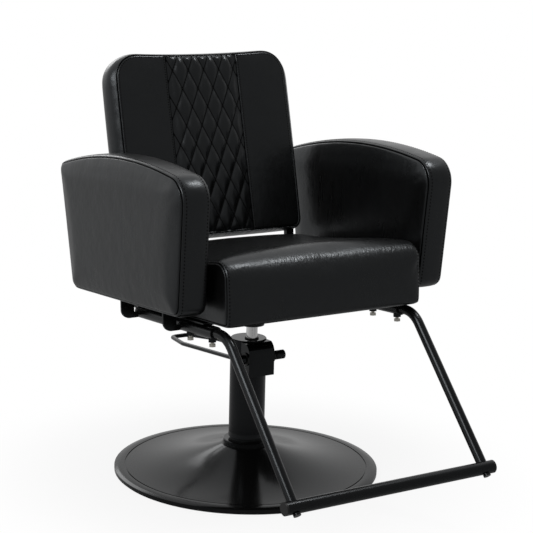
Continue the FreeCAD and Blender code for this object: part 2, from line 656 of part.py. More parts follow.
def build_housing():
    drum = cylinder(COLUMN_RADIUS, "drum_height", ("0", "0", HOUSING_BOTTOM))
    brow = f"{HOUSING_TOP} - brow_drop"
    snout = padded("housing_snout", "YZ", f"-{CHEEK_OUTER}", f"2 * {CHEEK_OUTER}", [
        ("0", HOUSING_BOTTOM),
        ("0", f"{brow} + shoulder_rise"),
        (f"{HOUSING_FRONT} + shoulder_depth", f"{brow} + shoulder_rise"),
        (HOUSING_FRONT, brow),
        (HOUSING_FRONT, HOUSING_BOTTOM),
    ], {2: ("shoulder_round", LEFT_OF_PATH)})
    cap_room = cylinder(COLUMN_RADIUS, "cap_height + shoulder_rise", ("0", "0", HOUSING_TOP))
    bore = cylinder(f"{CYLINDER_RADIUS} + fit_gap", "drum_height", (*PISTON_AT, HOUSING_BOTTOM))
    front = f"{HOUSING_FRONT} + housing_wall"
    rear = f"{PLUNGER_Y} + {BARREL_RADIUS} + barrel_room"
    cavity = box(f"2 * {CHEEK_INNER}", f"{rear} - ({front})", f"{CAVITY_TOP} - {HOUSING_FLOOR}",
                 (f"-{CHEEK_INNER}", front, HOUSING_FLOOR))
    eye = cylinder("bush_radius + fit_gap", f"2 * {CHEEK_OUTER}", (f"-{CHEEK_OUTER}", SHAFT_Y, SHAFT_Z), "x")
    finish(cut(join(drum, snout), cap_room, bore, cavity, eye), "pump_housing")


def build_cap():
    radius = f"{COLUMN_RADIUS} - fit_gap"
    disc = turned("cap_turning", [
        ("0", HOUSING_TOP),
        (radius, HOUSING_TOP),
        (radius, f"{CAP_TOP} - cap_bevel"),
        (f"{radius} - cap_bevel", CAP_TOP),
        ("0", CAP_TOP),
    ])
    spigot = cylinder(CYLINDER_RADIUS, "housing_roof", (*PISTON_AT, CAVITY_TOP))
    guide = cylinder("rod_radius + fit_gap", f"{CAP_TOP} - {CAVITY_TOP}", (*PISTON_AT, CAVITY_TOP))
    seal_seat = f"{CAP_TOP} + seal_stand - seal_height"
    seal_radius = "rod_radius + seal_width"
    recess = cylinder(f"{seal_radius} + fit_gap", "seal_height", (*PISTON_AT, seal_seat))
    finish(cut(join(disc, spigot), guide, recess), "pump_cap")
    finish(ring(seal_radius, "rod_radius + fit_gap", "seal_height", (*PISTON_AT, seal_seat)), "rod_seal")


def build_pump_drive():
    """Bushes of the lever shaft, the spring round it, and the plunger in its barrel."""
    bushes = []
    for _, sign in SIDES:
        inner = CHEEK_INNER if sign > 0 else f"-{CHEEK_OUTER}"
        outer = CHEEK_OUTER if sign > 0 else f"-{CHEEK_OUTER} - bush_flange_depth"
        sleeve = cylinder("bush_radius", "housing_wall", (inner, SHAFT_Y, SHAFT_Z), "x")
        flange = cylinder("bush_flange", "bush_flange_depth", (outer, SHAFT_Y, SHAFT_Z), "x")
        start = inner if sign > 0 else outer
        bore = cylinder("shaft_radius + fit_gap", "housing_wall + bush_flange_depth",
                        (start, SHAFT_Y, SHAFT_Z), "x")
        bushes.append(cut(join(sleeve, flange), bore))
    finish(group(*bushes), "lever_bushes")
    spring_inner = "shaft_radius + tip_gap"
    finish(ring(f"{spring_inner} + spring_wire", spring_inner, "spring_length",
                (f"-{CHEEK_INNER}", SHAFT_Y, SHAFT_Z), "x"), "return_spring")
    finish(ring(BARREL_RADIUS, "plunger_radius + fit_gap", "barrel_height",
                ("rocker_x", PLUNGER_Y, HOUSING_FLOOR)), "plunger_barrel")
    foot = f"{HOUSING_FLOOR} + barrel_height - plunger_dip"
    stem = cylinder("plunger_radius", f"{SHAFT_Z} - rocker_nose - plunger_gap - ({foot})",
                    ("rocker_x", PLUNGER_Y, foot))
    finish(group(stem), "pump_plunger")


def build_piston():
    tail_foot = f"{PISTON_BOTTOM} - nut_height - tail_stand"
    rod = cylinder("rod_radius", f"{ROD_TOP} - {PISTON_TOP}", (*PISTON_AT, PISTON_TOP))
    tail = cylinder("tail_radius", "piston_height + nut_height + tail_stand", (*PISTON_AT, tail_foot))
    finish(join(rod, tail), "piston_rod")
    disc = ring("piston_radius", "tail_radius + fit_gap", "piston_height", (*PISTON_AT, PISTON_BOTTOM))
    groove_foot = f"{PISTON_BOTTOM} + (piston_height - ring_height) / 2"
    groove = ring("2 * piston_radius", "piston_radius - ring_depth", "ring_height", (*PISTON_AT, groove_foot))
    finish(cut(disc, groove), "piston_head")
    seal = ring("piston_radius + fit_gap / 2", "piston_radius - ring_depth + fit_gap",
                "ring_height - 2 * fit_gap", (*PISTON_AT, f"{groove_foot} + fit_gap"))
    finish(seal, "piston_ring")
    nut_at = (*PISTON_AT, f"{PISTON_BOTTOM} - nut_height")
    finish(cut(hexagon("nut_flats", "nut_height", nut_at),
               cylinder("tail_radius + fit_gap", "nut_height", nut_at)), "piston_nut")


# Pump lever, drawn level and then sloped

def build_lever():
    stub_start = f"({CHEEK_OUTER} + bush_flange_depth + stub_gap)"
    core = cylinder("shaft_radius", f"2 * {stub_start}", (f"-{stub_start}", "0", "0"), "x")
    stubs = []
    eyes = []
    for _, sign in SIDES:
        start = stub_start if sign > 0 else f"-{stub_start} - stub_length"
        stubs.append(cylinder("stub_radius", "stub_length", (start, "0", "0"), "x"))
        eyes.append(cylinder("lever_radius + fit_gap", "2 * (stub_radius + tip_gap)",
                             (f"{sign} * {LEVER_HALF}", "-stub_radius - tip_gap", "0"), "y"))
    finish(cut(join(core, *stubs), *eyes), "lever_shaft", LEVER)

    body = new_body("lever_bending")
    path = new_sketch(body, "XY")
    edges = route(path, [
        (f"-{LEVER_HALF}", "-lever_nose"),
        (f"-{LEVER_HALF}", "lever_leg"),
        ("-lever_end_half", "lever_reach"),
        ("lever_end_half", "lever_reach"),
        (LEVER_HALF, "lever_leg"),
        (LEVER_HALF, "-lever_nose"),
    ], "lever_bend")
    profile = new_sketch(body, "XZ", "lever_nose")
    circle(profile, (f"-{LEVER_HALF}", "0"), "lever_radius")
    piped("lever", "Additive", body, profile, path, edges)
    finish(body, "lever_bar", LEVER)

    start = "rocker_x - rocker_width / 2"
    hub = cylinder("rocker_hub", "rocker_width", (start, "0", "0"), "x")
    web = box("rocker_width", "rocker_reach", "2 * rocker_nose", (start, "0", "-rocker_nose"))
    nose = cylinder("rocker_nose", "rocker_width", (start, "rocker_reach", "0"), "x")
    bore = cylinder("shaft_radius + fit_gap", "rocker_width", (start, "0", "0"), "x")
    finish(cut(join(hub, web, nose), bore), "rocker_arm", (SHAFT_Y, SHAFT_Z, "0"))


# Seat frame

def seat_bolt_spots():
    """Bolts on the middle lines of the cross members' flanges."""
    rows = [f"{y} + {inward} * flange_depth / 2" for _, y, inward in MEMBERS]
    return [(f"{sign} * seat_bolt_x", y) for y in rows for _, sign in SIDES]


def lean(solid, at, angle):
    """Move a solid to a point of three expressions and lean its Z back about X by an angle."""
    solid.Placement = Placement(Vector(), Rotation(Vector(-1, 0, 0), 1))
    for letter, text in zip("xyz", at):
        bind(solid, f"Placement.Base.{letter}", text)
    bind(solid, "Placement.Rotation.Angle", angle)
    return solid


def build_hub():
    """Upright socket on the rod, its top cut to the slope of the seat plate."""
    washer_foot = f"{ROD_TOP} + fit_gap"
    socket_top = f"{washer_foot} + washer_height"
    bottom = f"({socket_top} - socket_depth)"
    post = cylinder("hub_radius", f"{SEAT_ORIGIN} - {bottom}", (*PISTON_AT, bottom))
    socket = cylinder("rod_radius + fit_gap", "socket_depth", (*PISTON_AT, bottom))
    reach = "(piston_offset + 2 * hub_radius)"
    above = lean(box(f"2 * {reach}", f"2 * {reach}", reach, ("0", "0", "0")), (
        f"-{reach}",
        f"-{reach} * cos(seat_tilt) + {PLATE_UNDER} * sin(seat_tilt)",
        f"{SEAT_ORIGIN} + {PLATE_UNDER} * cos(seat_tilt) + {reach} * sin(seat_tilt)",
    ), "seat_tilt")
    finish(cut(post, socket, above), "seat_hub")
    finish(ring("rod_radius", "tail_radius", "washer_height", (*PISTON_AT, washer_foot)), "thrust_washer")


def build_seat_frame():
    spots = seat_bolt_spots()
    hole = "seat_bolt_radius + tip_gap"
    front = "-member_front + member_wall / 2 + tip_gap"
    depth = "member_front + member_rear - member_wall - 2 * tip_gap"
    plate = box("2 * plate_half", depth, "plate_height", ("-plate_half", front, PLATE_UNDER))
    plate_holes = [cylinder(hole, "plate_height", (*spot, PLATE_UNDER)) for spot in spots]
    finish(cut(plate, *plate_holes), "seat_plate", SEAT)

    half = f"({RECEIVER_X} - receiver_radius - fit_gap)"
    for place, y, inward in MEMBERS:
        outer_face = f"{y} - {inward} * member_wall / 2"
        flange_y = outer_face if inward > 0 else f"{outer_face} - flange_depth"
        web = box(f"2 * {half}", "member_wall", "member_drop",
                  (f"-{half}", f"{y} - member_wall / 2", "-frame_top - member_drop"))
        flange = box(f"2 * {half}", "flange_depth", "flange_plate", (f"-{half}", flange_y, FLANGE_UNDER))
        holes = [cylinder(hole, "flange_plate", (*spot, FLANGE_UNDER)) for spot in spots]
        finish(cut(join(web, flange), *holes), f"{place}_cross_member", SEAT)

    bolts = []
    for x, y in spots:
        head = hexagon("seat_bolt_flats", "seat_bolt_head", (x, y, f"{PLATE_UNDER} - seat_bolt_head"))
        shank = cylinder("seat_bolt_radius", "plate_height + flange_plate + seat_bolt_grip",
                         (x, y, PLATE_UNDER))
        bolts.append(join(head, shank))
    finish(group(*bolts), "seat_bolts", SEAT)


def build_receivers():
    nuts = []
    thread = "clamp_radius + fit_gap"
    for side, sign in SIDES:
        x = f"{sign} * {RECEIVER_X}"
        mouth = (x, "-receiver_front", RECEIVER_Z)
        tube = ring("receiver_radius", "tube_radius + tip_gap", RECEIVER_LENGTH, mouth, "y")
        under = f"{RECEIVER_Z} - receiver_radius"
        holes = [cylinder(thread, "receiver_radius", (x, y, under)) for _, y in CLAMP_ROWS]
        finish(cut(tube, *holes), f"receiver_{side}", SEAT)
        strip = box("strip_width", f"{RECEIVER_LENGTH} - strip_inset", "strip_height",
                    (f"{x} - strip_width / 2", "-receiver_front + strip_inset", "-frame_top - strip_height"))
        finish(group(strip), f"receiver_strip_{side}", SEAT)
        for _, y in CLAMP_ROWS:
            nut = hexagon("clamp_nut_flats", "clamp_nut_height", (x, y, CLAMP_NUT_FOOT))
            hole = cylinder(thread, "clamp_nut_height", (x, y, CLAMP_NUT_FOOT))
            nuts.append(cut(nut, hole, cylinder("receiver_radius", RECEIVER_LENGTH, mouth, "y")))
    finish(group(*nuts), "clamp_nuts", SEAT)


def build_clamp_bolts():
    head_top = f"{CLAMP_NUT_FOOT} - clamp_stand"
    tip = f"{RECEIVER_Z} - tube_radius - tip_gap"
    for side, sign in SIDES:
        for row, y in CLAMP_ROWS:
            x = f"{sign} * {RECEIVER_X}"
            head = hexagon("clamp_flats", "clamp_head", (x, y, f"{head_top} - clamp_head"))
            shank = cylinder("clamp_radius", f"{tip} - ({head_top})", (x, y, head_top))
            finish(join(head, shank), f"clamp_bolt_{row}_{side}", SEAT)


def arm_bolt_spots(sign, y):
    """Two bolts on an arm bracket's flange, in the middle of the arm."""
    return [(f"{sign} * {ARM_MIDDLE}", f"{y} + {step} * arm_bolt_step / 2") for step in (-1, 1)]


def build_arm_brackets():
    bolts = []
    for side, sign in SIDES:
        turn = LEFT_OF_PATH if sign > 0 else RIGHT_OF_PATH
        foot_x = BRACKET_ROOT if sign > 0 else f"-{BRACKET_ROOT} - bracket_foot"
        for place, y, _ in MEMBERS:
            name = f"arm_bracket_{place}_{side}"
            web = padded(f"{name}_web", "XZ", f"-({y}) - member_wall / 2", "member_wall", [
                (f"{sign} * ({RECEIVER_X} + bracket_lip)", "-bracket_drop"),
                (f"{sign} * ({BRACKET_END} - bracket_corner)", "-bracket_drop"),
                (f"{sign} * {BRACKET_END}", "-bracket_drop + bracket_corner"),
                (f"{sign} * {BRACKET_END}", "arm_bottom"),
                (f"{sign} * {BRACKET_ROOT}", "arm_bottom"),
                (f"{sign} * {BRACKET_ROOT}", RECEIVER_Z),
                (f"{sign} * ({RECEIVER_X} + bracket_lip)", RECEIVER_Z),
            ], {1: ("bracket_corner", turn)})
            near = f"{y} - bracket_foot_depth / 2"
            foot = box("bracket_foot", "bracket_foot_depth", "member_wall",
                       (foot_x, near, BRACKET_FOOT_UNDER))
            tube = cylinder("receiver_radius", "bracket_foot_depth",
                            (f"{sign} * {RECEIVER_X}", near, RECEIVER_Z), "y")
            holes = []
            for spot in arm_bolt_spots(sign, y):
                under = (*spot, BRACKET_FOOT_UNDER)
                holes.append(cylinder("arm_bolt_radius + tip_gap", "member_wall", under))
                head = hexagon("arm_bolt_flats", "arm_bolt_head",
                               (*spot, f"{BRACKET_FOOT_UNDER} - arm_bolt_head"))
                bolts.append(join(head, cylinder("arm_bolt_radius", "member_wall + arm_bolt_grip", under)))
            finish(cut(join(web, foot), tube, *holes), name, SEAT)
    finish(group(*bolts), "arm_bolts", SEAT)


# Upholstery on its boards

# Turns of a cushion's rounded edge, in degrees from its widest line to its seam
EDGE_TURNS = (0, 30, 60, 90)
SEAT_STATIONS = (-0.7, -0.35, 0, 0.35, 0.7)


def seat_section(x, inset):
    """Side outline of the seat cushion at one place across it, drawn in by inset."""
    lift = f"seat_crown * (1 - (({x}) / seat_half)^2) - {inset}"
    front = f"-seat_front + {inset}"
    rear = f"seat_rear - {inset}"
    corners = [
        (rear, FRAME_TOP),
        (rear, f"seat_rear_height + {lift} - seat_rear_round"),
        (f"{rear} - seat_rear_round", f"seat_rear_height + {lift}"),
        (f"{front} + seat_front_round", f"seat_front_height + {lift}"),
        (front, f"seat_front_height + {lift} - seat_front_round"),
        (front, FRAME_TOP),
    ]
    arcs = {
        1: ("seat_rear_round", LEFT_OF_PATH),
        2: ("seat_top_curve", LEFT_OF_PATH),
        3: ("seat_front_round", LEFT_OF_PATH),
    }
    return x, corners, arcs


def seat_board_blank():
    return box("2 * (seat_half - board_margin)", "seat_front + seat_rear - 2 * board_margin", "board_height",
               ("-seat_half + board_margin", "-seat_front + board_margin", FRAME_TOP))


def build_seat():
    threads = []
    for spot in seat_bolt_spots():
        threads.append(cylinder("seat_bolt_radius + fit_gap", "seat_bolt_grip", (*spot, FRAME_TOP)))
    finish(cut(seat_board_blank(), *threads), "seat_board", SEAT)
    edge = []
    for turn in EDGE_TURNS:
        x = f"(seat_half - seat_side_depth * (1 - sin({turn})))"
        edge.append((x, f"seat_side_draw * (1 - cos({turn}))"))
    sections = [seat_section(f"-{x}", inset) for x, inset in reversed(edge)]
    sections += [seat_section(f"{share} * seat_half", "0") for share in SEAT_STATIONS]
    sections += [seat_section(x, inset) for x, inset in edge]
    cushion = lofted("seat_form", "YZ", sections, ruled=True)
    finish(cut(cushion, seat_board_blank()), "seat_cushion", SEAT)


def arm_section(x, inset):
    """Side outline of an arm at one place across it, drawn in by inset."""
    bottom = f"arm_bottom + {inset}"
    front_foot = f"-arm_front_foot + {inset}"
    front_head = f"-arm_front_head + {inset}"
    rear_foot = f"arm_rear_foot - {inset}"
    rear_head = f"arm_rear_head - {inset}"
    front_top = f"arm_front_shoulder - {inset}"
    rear_top = f"arm_rear_shoulder - {inset}"
    corners = [
        (f"{front_foot} + arm_corner", bottom),
        (f"{rear_foot} - arm_corner", bottom),
        (rear_foot, f"{bottom} + arm_corner"),
        (rear_head, f"{rear_top} - arm_rear_round"),
        (f"{rear_head} - arm_rear_round", rear_top),
        (f"{front_head} + arm_front_round", front_top),
        (front_head, f"{front_top} - arm_front_round"),
        (front_foot, f"{bottom} + arm_corner"),
    ]
    arcs = {
        1: ("arm_corner", LEFT_OF_PATH),
        3: ("arm_rear_round", LEFT_OF_PATH),
        4: ("arm_top_curve", LEFT_OF_PATH),
        5: ("arm_front_round", LEFT_OF_PATH),
        7: ("arm_corner", LEFT_OF_PATH),
    }
    return x, corners, arcs


def arm_board_blank(sign):
    inner = f"{ARM_MIDDLE} - arm_board_wall / 2"
    x = inner if sign > 0 else f"-({inner}) - arm_board_wall"
    return box("arm_board_wall", "arm_front_foot + arm_rear_foot - 2 * arm_board_cover",
               "arm_rear_shoulder - arm_bottom - arm_board_cover",
               (x, "-arm_front_foot + arm_board_cover", "arm_bottom"))


def build_arms():
    edge = [("0", "arm_face_inset")]
    for turn in reversed(EDGE_TURNS):
        depth = f"arm_crown + arm_seam_depth * (1 - sin({turn}))"
        edge.append((depth, f"arm_seam_inset * (1 - cos({turn}))"))
    depths = edge + [(f"arm_thickness - ({depth})", inset) for depth, inset in reversed(edge)]
    for side, sign in SIDES:
        threads = []
        for _, y, _ in MEMBERS:
            for spot in arm_bolt_spots(sign, y):
                threads.append(cylinder("arm_bolt_radius + fit_gap", "arm_bolt_grip", (*spot, "arm_bottom")))
        finish(cut(arm_board_blank(sign), *threads), f"arm_board_{side}", SEAT)
        sections = [arm_section(f"{sign} * ({ARM_INNER} + {depth})", inset) for depth, inset in depths]
        cushion = lofted(f"arm_form_{side}", "YZ", sections, ruled=True)
        finish(cut(cushion, arm_board_blank(sign)), f"arm_cushion_{side}", SEAT)


# Back

def back_section(depth, inset, trim):
    """Front outline of the back at one depth, drawn in by inset at its sides and trim at top and bottom."""
    side = f"(back_half - ({inset}))"
    foot = f"({trim})"
    head = f"(back_height - ({trim}))"
    corners = [
        (f"-{side} + back_foot_round", foot),
        (f"{side} - back_foot_round", foot),
        (side, f"{foot} + back_foot_round"),
        (side, f"{head} - back_round"),
        (f"{side} - back_round", head),
        (f"-{side} + back_round", head),
        (f"-{side}", f"{head} - back_round"),
        (f"-{side}", f"{foot} + back_foot_round"),
    ]
    arcs = {
        1: ("back_foot_round", LEFT_OF_PATH),
        3: ("back_round", LEFT_OF_PATH),
        5: ("back_round", LEFT_OF_PATH),
        7: ("back_foot_round", LEFT_OF_PATH),
    }
    return f"-({depth})", corners, arcs


def screw_spots():
    return [(f"{sign} * {UPRIGHT_X}", height) for _, sign in SIDES for height in SCREW_HEIGHTS]


def back_board_blank():
    return box(f"2 * {BACK_BOARD_HALF}", "back_board_wall", "back_height - 2 * back_board_foot",
               (f"-{BACK_BOARD_HALF}", BOARD_FACE, "back_board_foot"))


def build_back():
    threads = []
    shanks = []
    for x, z in screw_spots():
        threads.append(cylinder("screw_radius + fit_gap", "screw_grip", (x, BOARD_FACE, z), "y"))
        shanks.append(cylinder("screw_radius", "upright_depth + screw_grip", (x, UPRIGHT_FACE, z), "y"))
    finish(cut(back_board_blank(), *threads), "back_board", BACK)
    finish(group(*shanks), "back_screws", BACK)

    form = lofted("back_form", "XZ", [
        back_section("0", "back_face_inset", "back_face_trim"),
        back_section("back_seam_depth", "0", "0"),
        back_section("back_thickness / 2", "-back_swell", "-back_swell / 2"),
        back_section("back_thickness - back_seam_depth", "-back_swell / 2", "-back_swell / 4"),
        back_section("back_thickness", "back_seam_depth", "back_seam_depth"),
    ])
    slots = []
    below = "-2 * back_swell"
    for _, sign in SIDES:
        x = f"{sign} * {UPRIGHT_X} - upright_width / 2 - fit_gap"
        width = "upright_width + 2 * fit_gap"
        slots.append(box(width, "upright_depth + fit_gap", f"{UPRIGHT_BEND} + upright_head + fit_gap",
                         (x, f"{UPRIGHT_FACE} - fit_gap", "0")))
        slots.append(box(width, "upright_depth + 2 * upright_mouth", "back_board_foot + 2 * back_swell",
                         (x, f"{UPRIGHT_FACE} - upright_mouth", below)))
    finish(cut(form, back_board_blank(), *slots), "back_cushion", BACK)


def build_uprights():
    """Bars from the rear cross member, up behind the seat and into the back."""
    start = f"{RECEIVER_REAR} + fit_gap"
    corners = [
        (start, "-upright_drop"),
        (UPRIGHT_Y, "-upright_drop"),
        (UPRIGHT_Y, "back_foot"),
        (f"{UPRIGHT_Y} + upright_head * sin(back_recline)", "back_foot + upright_head * cos(back_recline)"),
    ]
    for side, sign in SIDES:
        x = f"{sign} * {UPRIGHT_X}"
        body = new_body(f"upright_{side}")
        path = new_sketch(body, "YZ", x)
        edges = route(path, corners, "upright_bend")
        profile = new_sketch(body, "XZ", f"-({start})")
        rectangle(profile, f"{x} - upright_width / 2", "-upright_drop - upright_depth / 2",
                  "upright_width", "upright_depth")
        piped(f"upright_{side}", "Additive", body, profile, path, edges)
        holes = []
        for height in SCREW_HEIGHTS:
            hole = cylinder("screw_radius + fit_gap", "upright_depth")
            holes.append(lean(hole, (
                x,
                f"{BACK_FRONT} + {UPRIGHT_FACE} * cos(back_recline) + ({height}) * sin(back_recline)",
                f"back_foot - {UPRIGHT_FACE} * sin(back_recline) + ({height}) * cos(back_recline)",
            ), "90 + back_recline"))
        finish(cut(body, *holes), f"back_upright_{side}", SEAT)


def build_quilted_panel():
    """Padded panel on the back's front, its diamonds sewn in by two sets of slanting channels."""
    blank = box("2 * panel_half", "panel_depth", PANEL_HEIGHT, ("-panel_half", "-panel_depth", "panel_foot"))
    run = f"({PANEL_HEIGHT} * diamond_width / diamond_height)"
    count = math.ceil(number(f"(2 * panel_half + {run}) / diamond_width"))
    channels = []
    for direction in (1, -1):
        first = f"-panel_half - {run}" if direction > 0 else "-panel_half"
        for i in range(count):
            foot = f"{first} + {i} * diamond_width"
            head = f"{foot} + {direction} * {run}"
            channels.append(padded("channel", "XZ", "panel_depth - quilt_depth", "quilt_depth", [
                (f"{foot} - quilt_width / 2", "panel_foot"),
                (f"{foot} + quilt_width / 2", "panel_foot"),
                (f"{head} + quilt_width / 2", f"panel_foot + {PANEL_HEIGHT}"),
                (f"{head} - quilt_width / 2", f"panel_foot + {PANEL_HEIGHT}"),
            ]))
    finish(cut(blank, *channels), "quilted_panel", BACK)


# Footrest

def along_leg(solid, x, distance):
    """Set a solid on a leg's line, its own Z up the leg, at a distance above the foot bar's middle."""
    return lean(solid, (
        x,
        f"{LEG_END_Y} + ({distance}) * cos(footrest_slope)",
        f"{LEG_END_Z} + ({distance}) * sin(footrest_slope)",
    ), "90 - footrest_slope")


def bar_blank(radius):
    return cylinder(radius, f"2 * {BAR_HALF}", (f"-{BAR_HALF}", LEG_END_Y, LEG_END_Z), "x")


def build_footrest_tube(name, x):
    body = new_body(f"{name}_bending")
    path = new_sketch(body, "YZ", x)
    edges = route(path, [
        ("-tube_inner_end", RECEIVER_Z),
        ("-receiver_front - footrest_reach", RECEIVER_Z),
        (LEG_END_Y, LEG_END_Z),
    ], "footrest_bend")
    for kind, radius in (("Additive", "tube_radius"), ("Subtractive", "tube_radius - tube_wall")):
        profile = new_sketch(body, "XZ", "tube_inner_end")
        circle(profile, (x, RECEIVER_Z), radius)
        piped(f"{name}_{kind}", kind, body, profile, path, edges)
    finish(cut(body, bar_blank("bar_radius + fit_gap")), name, SEAT)


def build_footrest():
    bolts = []
    eyes = []
    for side, sign in SIDES:
        x = f"{sign} * {RECEIVER_X}"
        build_footrest_tube(f"footrest_tube_{side}", x)
        plug = along_leg(cylinder("tube_radius - tube_wall - fit_gap", "bar_plug"), x, "bar_radius + tip_gap")
        head_foot = "-bar_radius - fit_gap - bar_bolt_head"
        head = along_leg(cylinder("bar_bolt_head_radius", "bar_bolt_head"), x, head_foot)
        shank_length = "2 * bar_radius + bar_plug / 2"
        shank = along_leg(cylinder("bar_bolt_radius", shank_length), x, "-bar_radius - fit_gap")
        bolts.append(join(plug, head, shank))
        eyes.append(along_leg(cylinder("bar_bolt_radius + tip_gap", "4 * bar_radius"), x, "-2 * bar_radius"))
    finish(group(*bolts), "foot_bar_bolts", SEAT)
    finish(cut(bar_blank("bar_radius"), bar_blank("bar_radius - bar_wall"), *eyes), "foot_bar", SEAT)
    caps = []
    for _, sign in SIDES:
        face = BAR_HALF if sign > 0 else f"-{BAR_HALF} - end_cap"
        plug_start = f"{BAR_HALF} - end_cap_plug" if sign > 0 else f"-{BAR_HALF}"
        lid = cylinder("bar_radius", "end_cap", (face, LEG_END_Y, LEG_END_Z), "x")
        plug = cylinder("bar_radius - bar_wall - fit_gap", "end_cap_plug",
                        (plug_start, LEG_END_Y, LEG_END_Z), "x")
        caps.append(join(lid, plug))
    finish(group(*caps), "foot_bar_caps", SEAT)


def write_pieces():
    """Stop if anything failed, then write each piece to a file of its own name."""
    failed = [item.Label for item in doc.Objects if {"Invalid", "Error"} & set(item.State)]
    failed += [piece.Label for piece in pieces if piece.Shape.isNull() or not piece.Shape.isValid()]
    if failed:
        raise RuntimeError(f"These did not build: {', '.join(failed)}")
    os.makedirs("parts", exist_ok=True)
    for piece in pieces:
        piece.Shape.exportStep(f"parts/{piece.Label}.step")
        print(f"{piece.Label}: {len(piece.Shape.Solids)} solids, {piece.Shape.Volume:.0f} mm3")


build_base()
build_column()
build_housing()
build_cap()
build_pump_drive()
build_piston()
build_lever()
build_hub()
build_seat_frame()
build_receivers()
build_clamp_bolts()
build_arm_brackets()
build_seat()
build_arms()
build_back()
build_uprights()
build_quilted_panel()
build_footrest()
doc.recompute()
write_pieces()
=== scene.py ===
# %% [markdown]
# # A hairdressing chair in black vinyl
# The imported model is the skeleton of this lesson. Its metal pieces already have their true shapes, so they
# only get finishes here. Its cushions are plain foam blocks, so each one is sewn again out of panels, puffed
# up by Blender's cloth solver, and given seams and stitches.

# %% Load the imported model
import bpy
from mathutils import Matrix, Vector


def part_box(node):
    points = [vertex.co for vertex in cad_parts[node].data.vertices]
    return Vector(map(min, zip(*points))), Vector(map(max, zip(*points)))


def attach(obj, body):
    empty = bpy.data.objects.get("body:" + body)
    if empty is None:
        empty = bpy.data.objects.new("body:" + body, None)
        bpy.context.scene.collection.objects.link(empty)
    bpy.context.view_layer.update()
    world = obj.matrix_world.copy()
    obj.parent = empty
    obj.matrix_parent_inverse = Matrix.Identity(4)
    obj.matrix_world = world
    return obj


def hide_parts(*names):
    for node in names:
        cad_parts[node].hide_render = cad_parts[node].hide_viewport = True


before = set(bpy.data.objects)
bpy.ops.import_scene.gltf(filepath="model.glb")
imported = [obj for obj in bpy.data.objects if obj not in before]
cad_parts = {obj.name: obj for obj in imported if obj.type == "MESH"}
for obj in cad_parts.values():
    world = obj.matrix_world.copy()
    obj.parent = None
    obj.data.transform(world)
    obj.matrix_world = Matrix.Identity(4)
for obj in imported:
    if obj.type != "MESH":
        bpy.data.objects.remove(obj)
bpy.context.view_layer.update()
print(len(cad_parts), "pieces of the packed model")

# %% [markdown]
# ## The camera
# A photograph fixes where its camera stood: the round base is an ellipse, the footrest's legs run to a
# vanishing point, and both agree on one place, one heading and one lens. A camera looks along its own -Z, so
# it is turned up from the floor first, then to its heading, and last rolled a little about its own axis.

# %% Camera
import bpy
from math import pi, radians
from mathutils import Matrix, Vector

CAMERA_PLACE = (-1.9455, -3.0629, 1.2604)
CAMERA_HEADING = radians(-33.01)
CAMERA_PITCH = radians(12.09)
CAMERA_ROLL = radians(1.417)
CAMERA_LENS = 110.36

scene = bpy.context.scene
scene.view_settings.view_transform = "Standard"
lens = bpy.data.cameras.new("camera")
lens.lens = CAMERA_LENS
camera = bpy.data.objects.new("camera", lens)
aim = Matrix.Rotation(CAMERA_HEADING, 4, "Z") @ Matrix.Rotation(pi / 2 - CAMERA_PITCH, 4, "X")
camera.matrix_world = Matrix.Translation(CAMERA_PLACE) @ aim @ Matrix.Rotation(CAMERA_ROLL, 4, "Z")
scene.collection.objects.link(camera)
scene.camera = camera
print("camera", round(Vector(CAMERA_PLACE).length, 2), "m from the base")

# %% [markdown]
# ## Sums in a material
# A finish is a small network of nodes. Written as Python sums it reads like a recipe, so one class wraps a
# socket and turns each operator into a Math node, and another holds the network and makes every other node.

# %% Shader sums
class Tone:
    """A value in a network: sums written with it become Math nodes."""

    def __init__(self, network, socket):
        self.network = network
        self.socket = socket

    def sum(self, operation, first, second):
        return self.network.node("Math", {0: first, 1: second}, operation=operation)

    def __add__(self, other):
        return self.sum("ADD", self, other)

    def __sub__(self, other):
        return self.sum("SUBTRACT", self, other)

    def __rsub__(self, other):
        return self.sum("SUBTRACT", other, self)

    def __mul__(self, other):
        return self.sum("MULTIPLY", self, other)

    __radd__ = __add__
    __rmul__ = __mul__


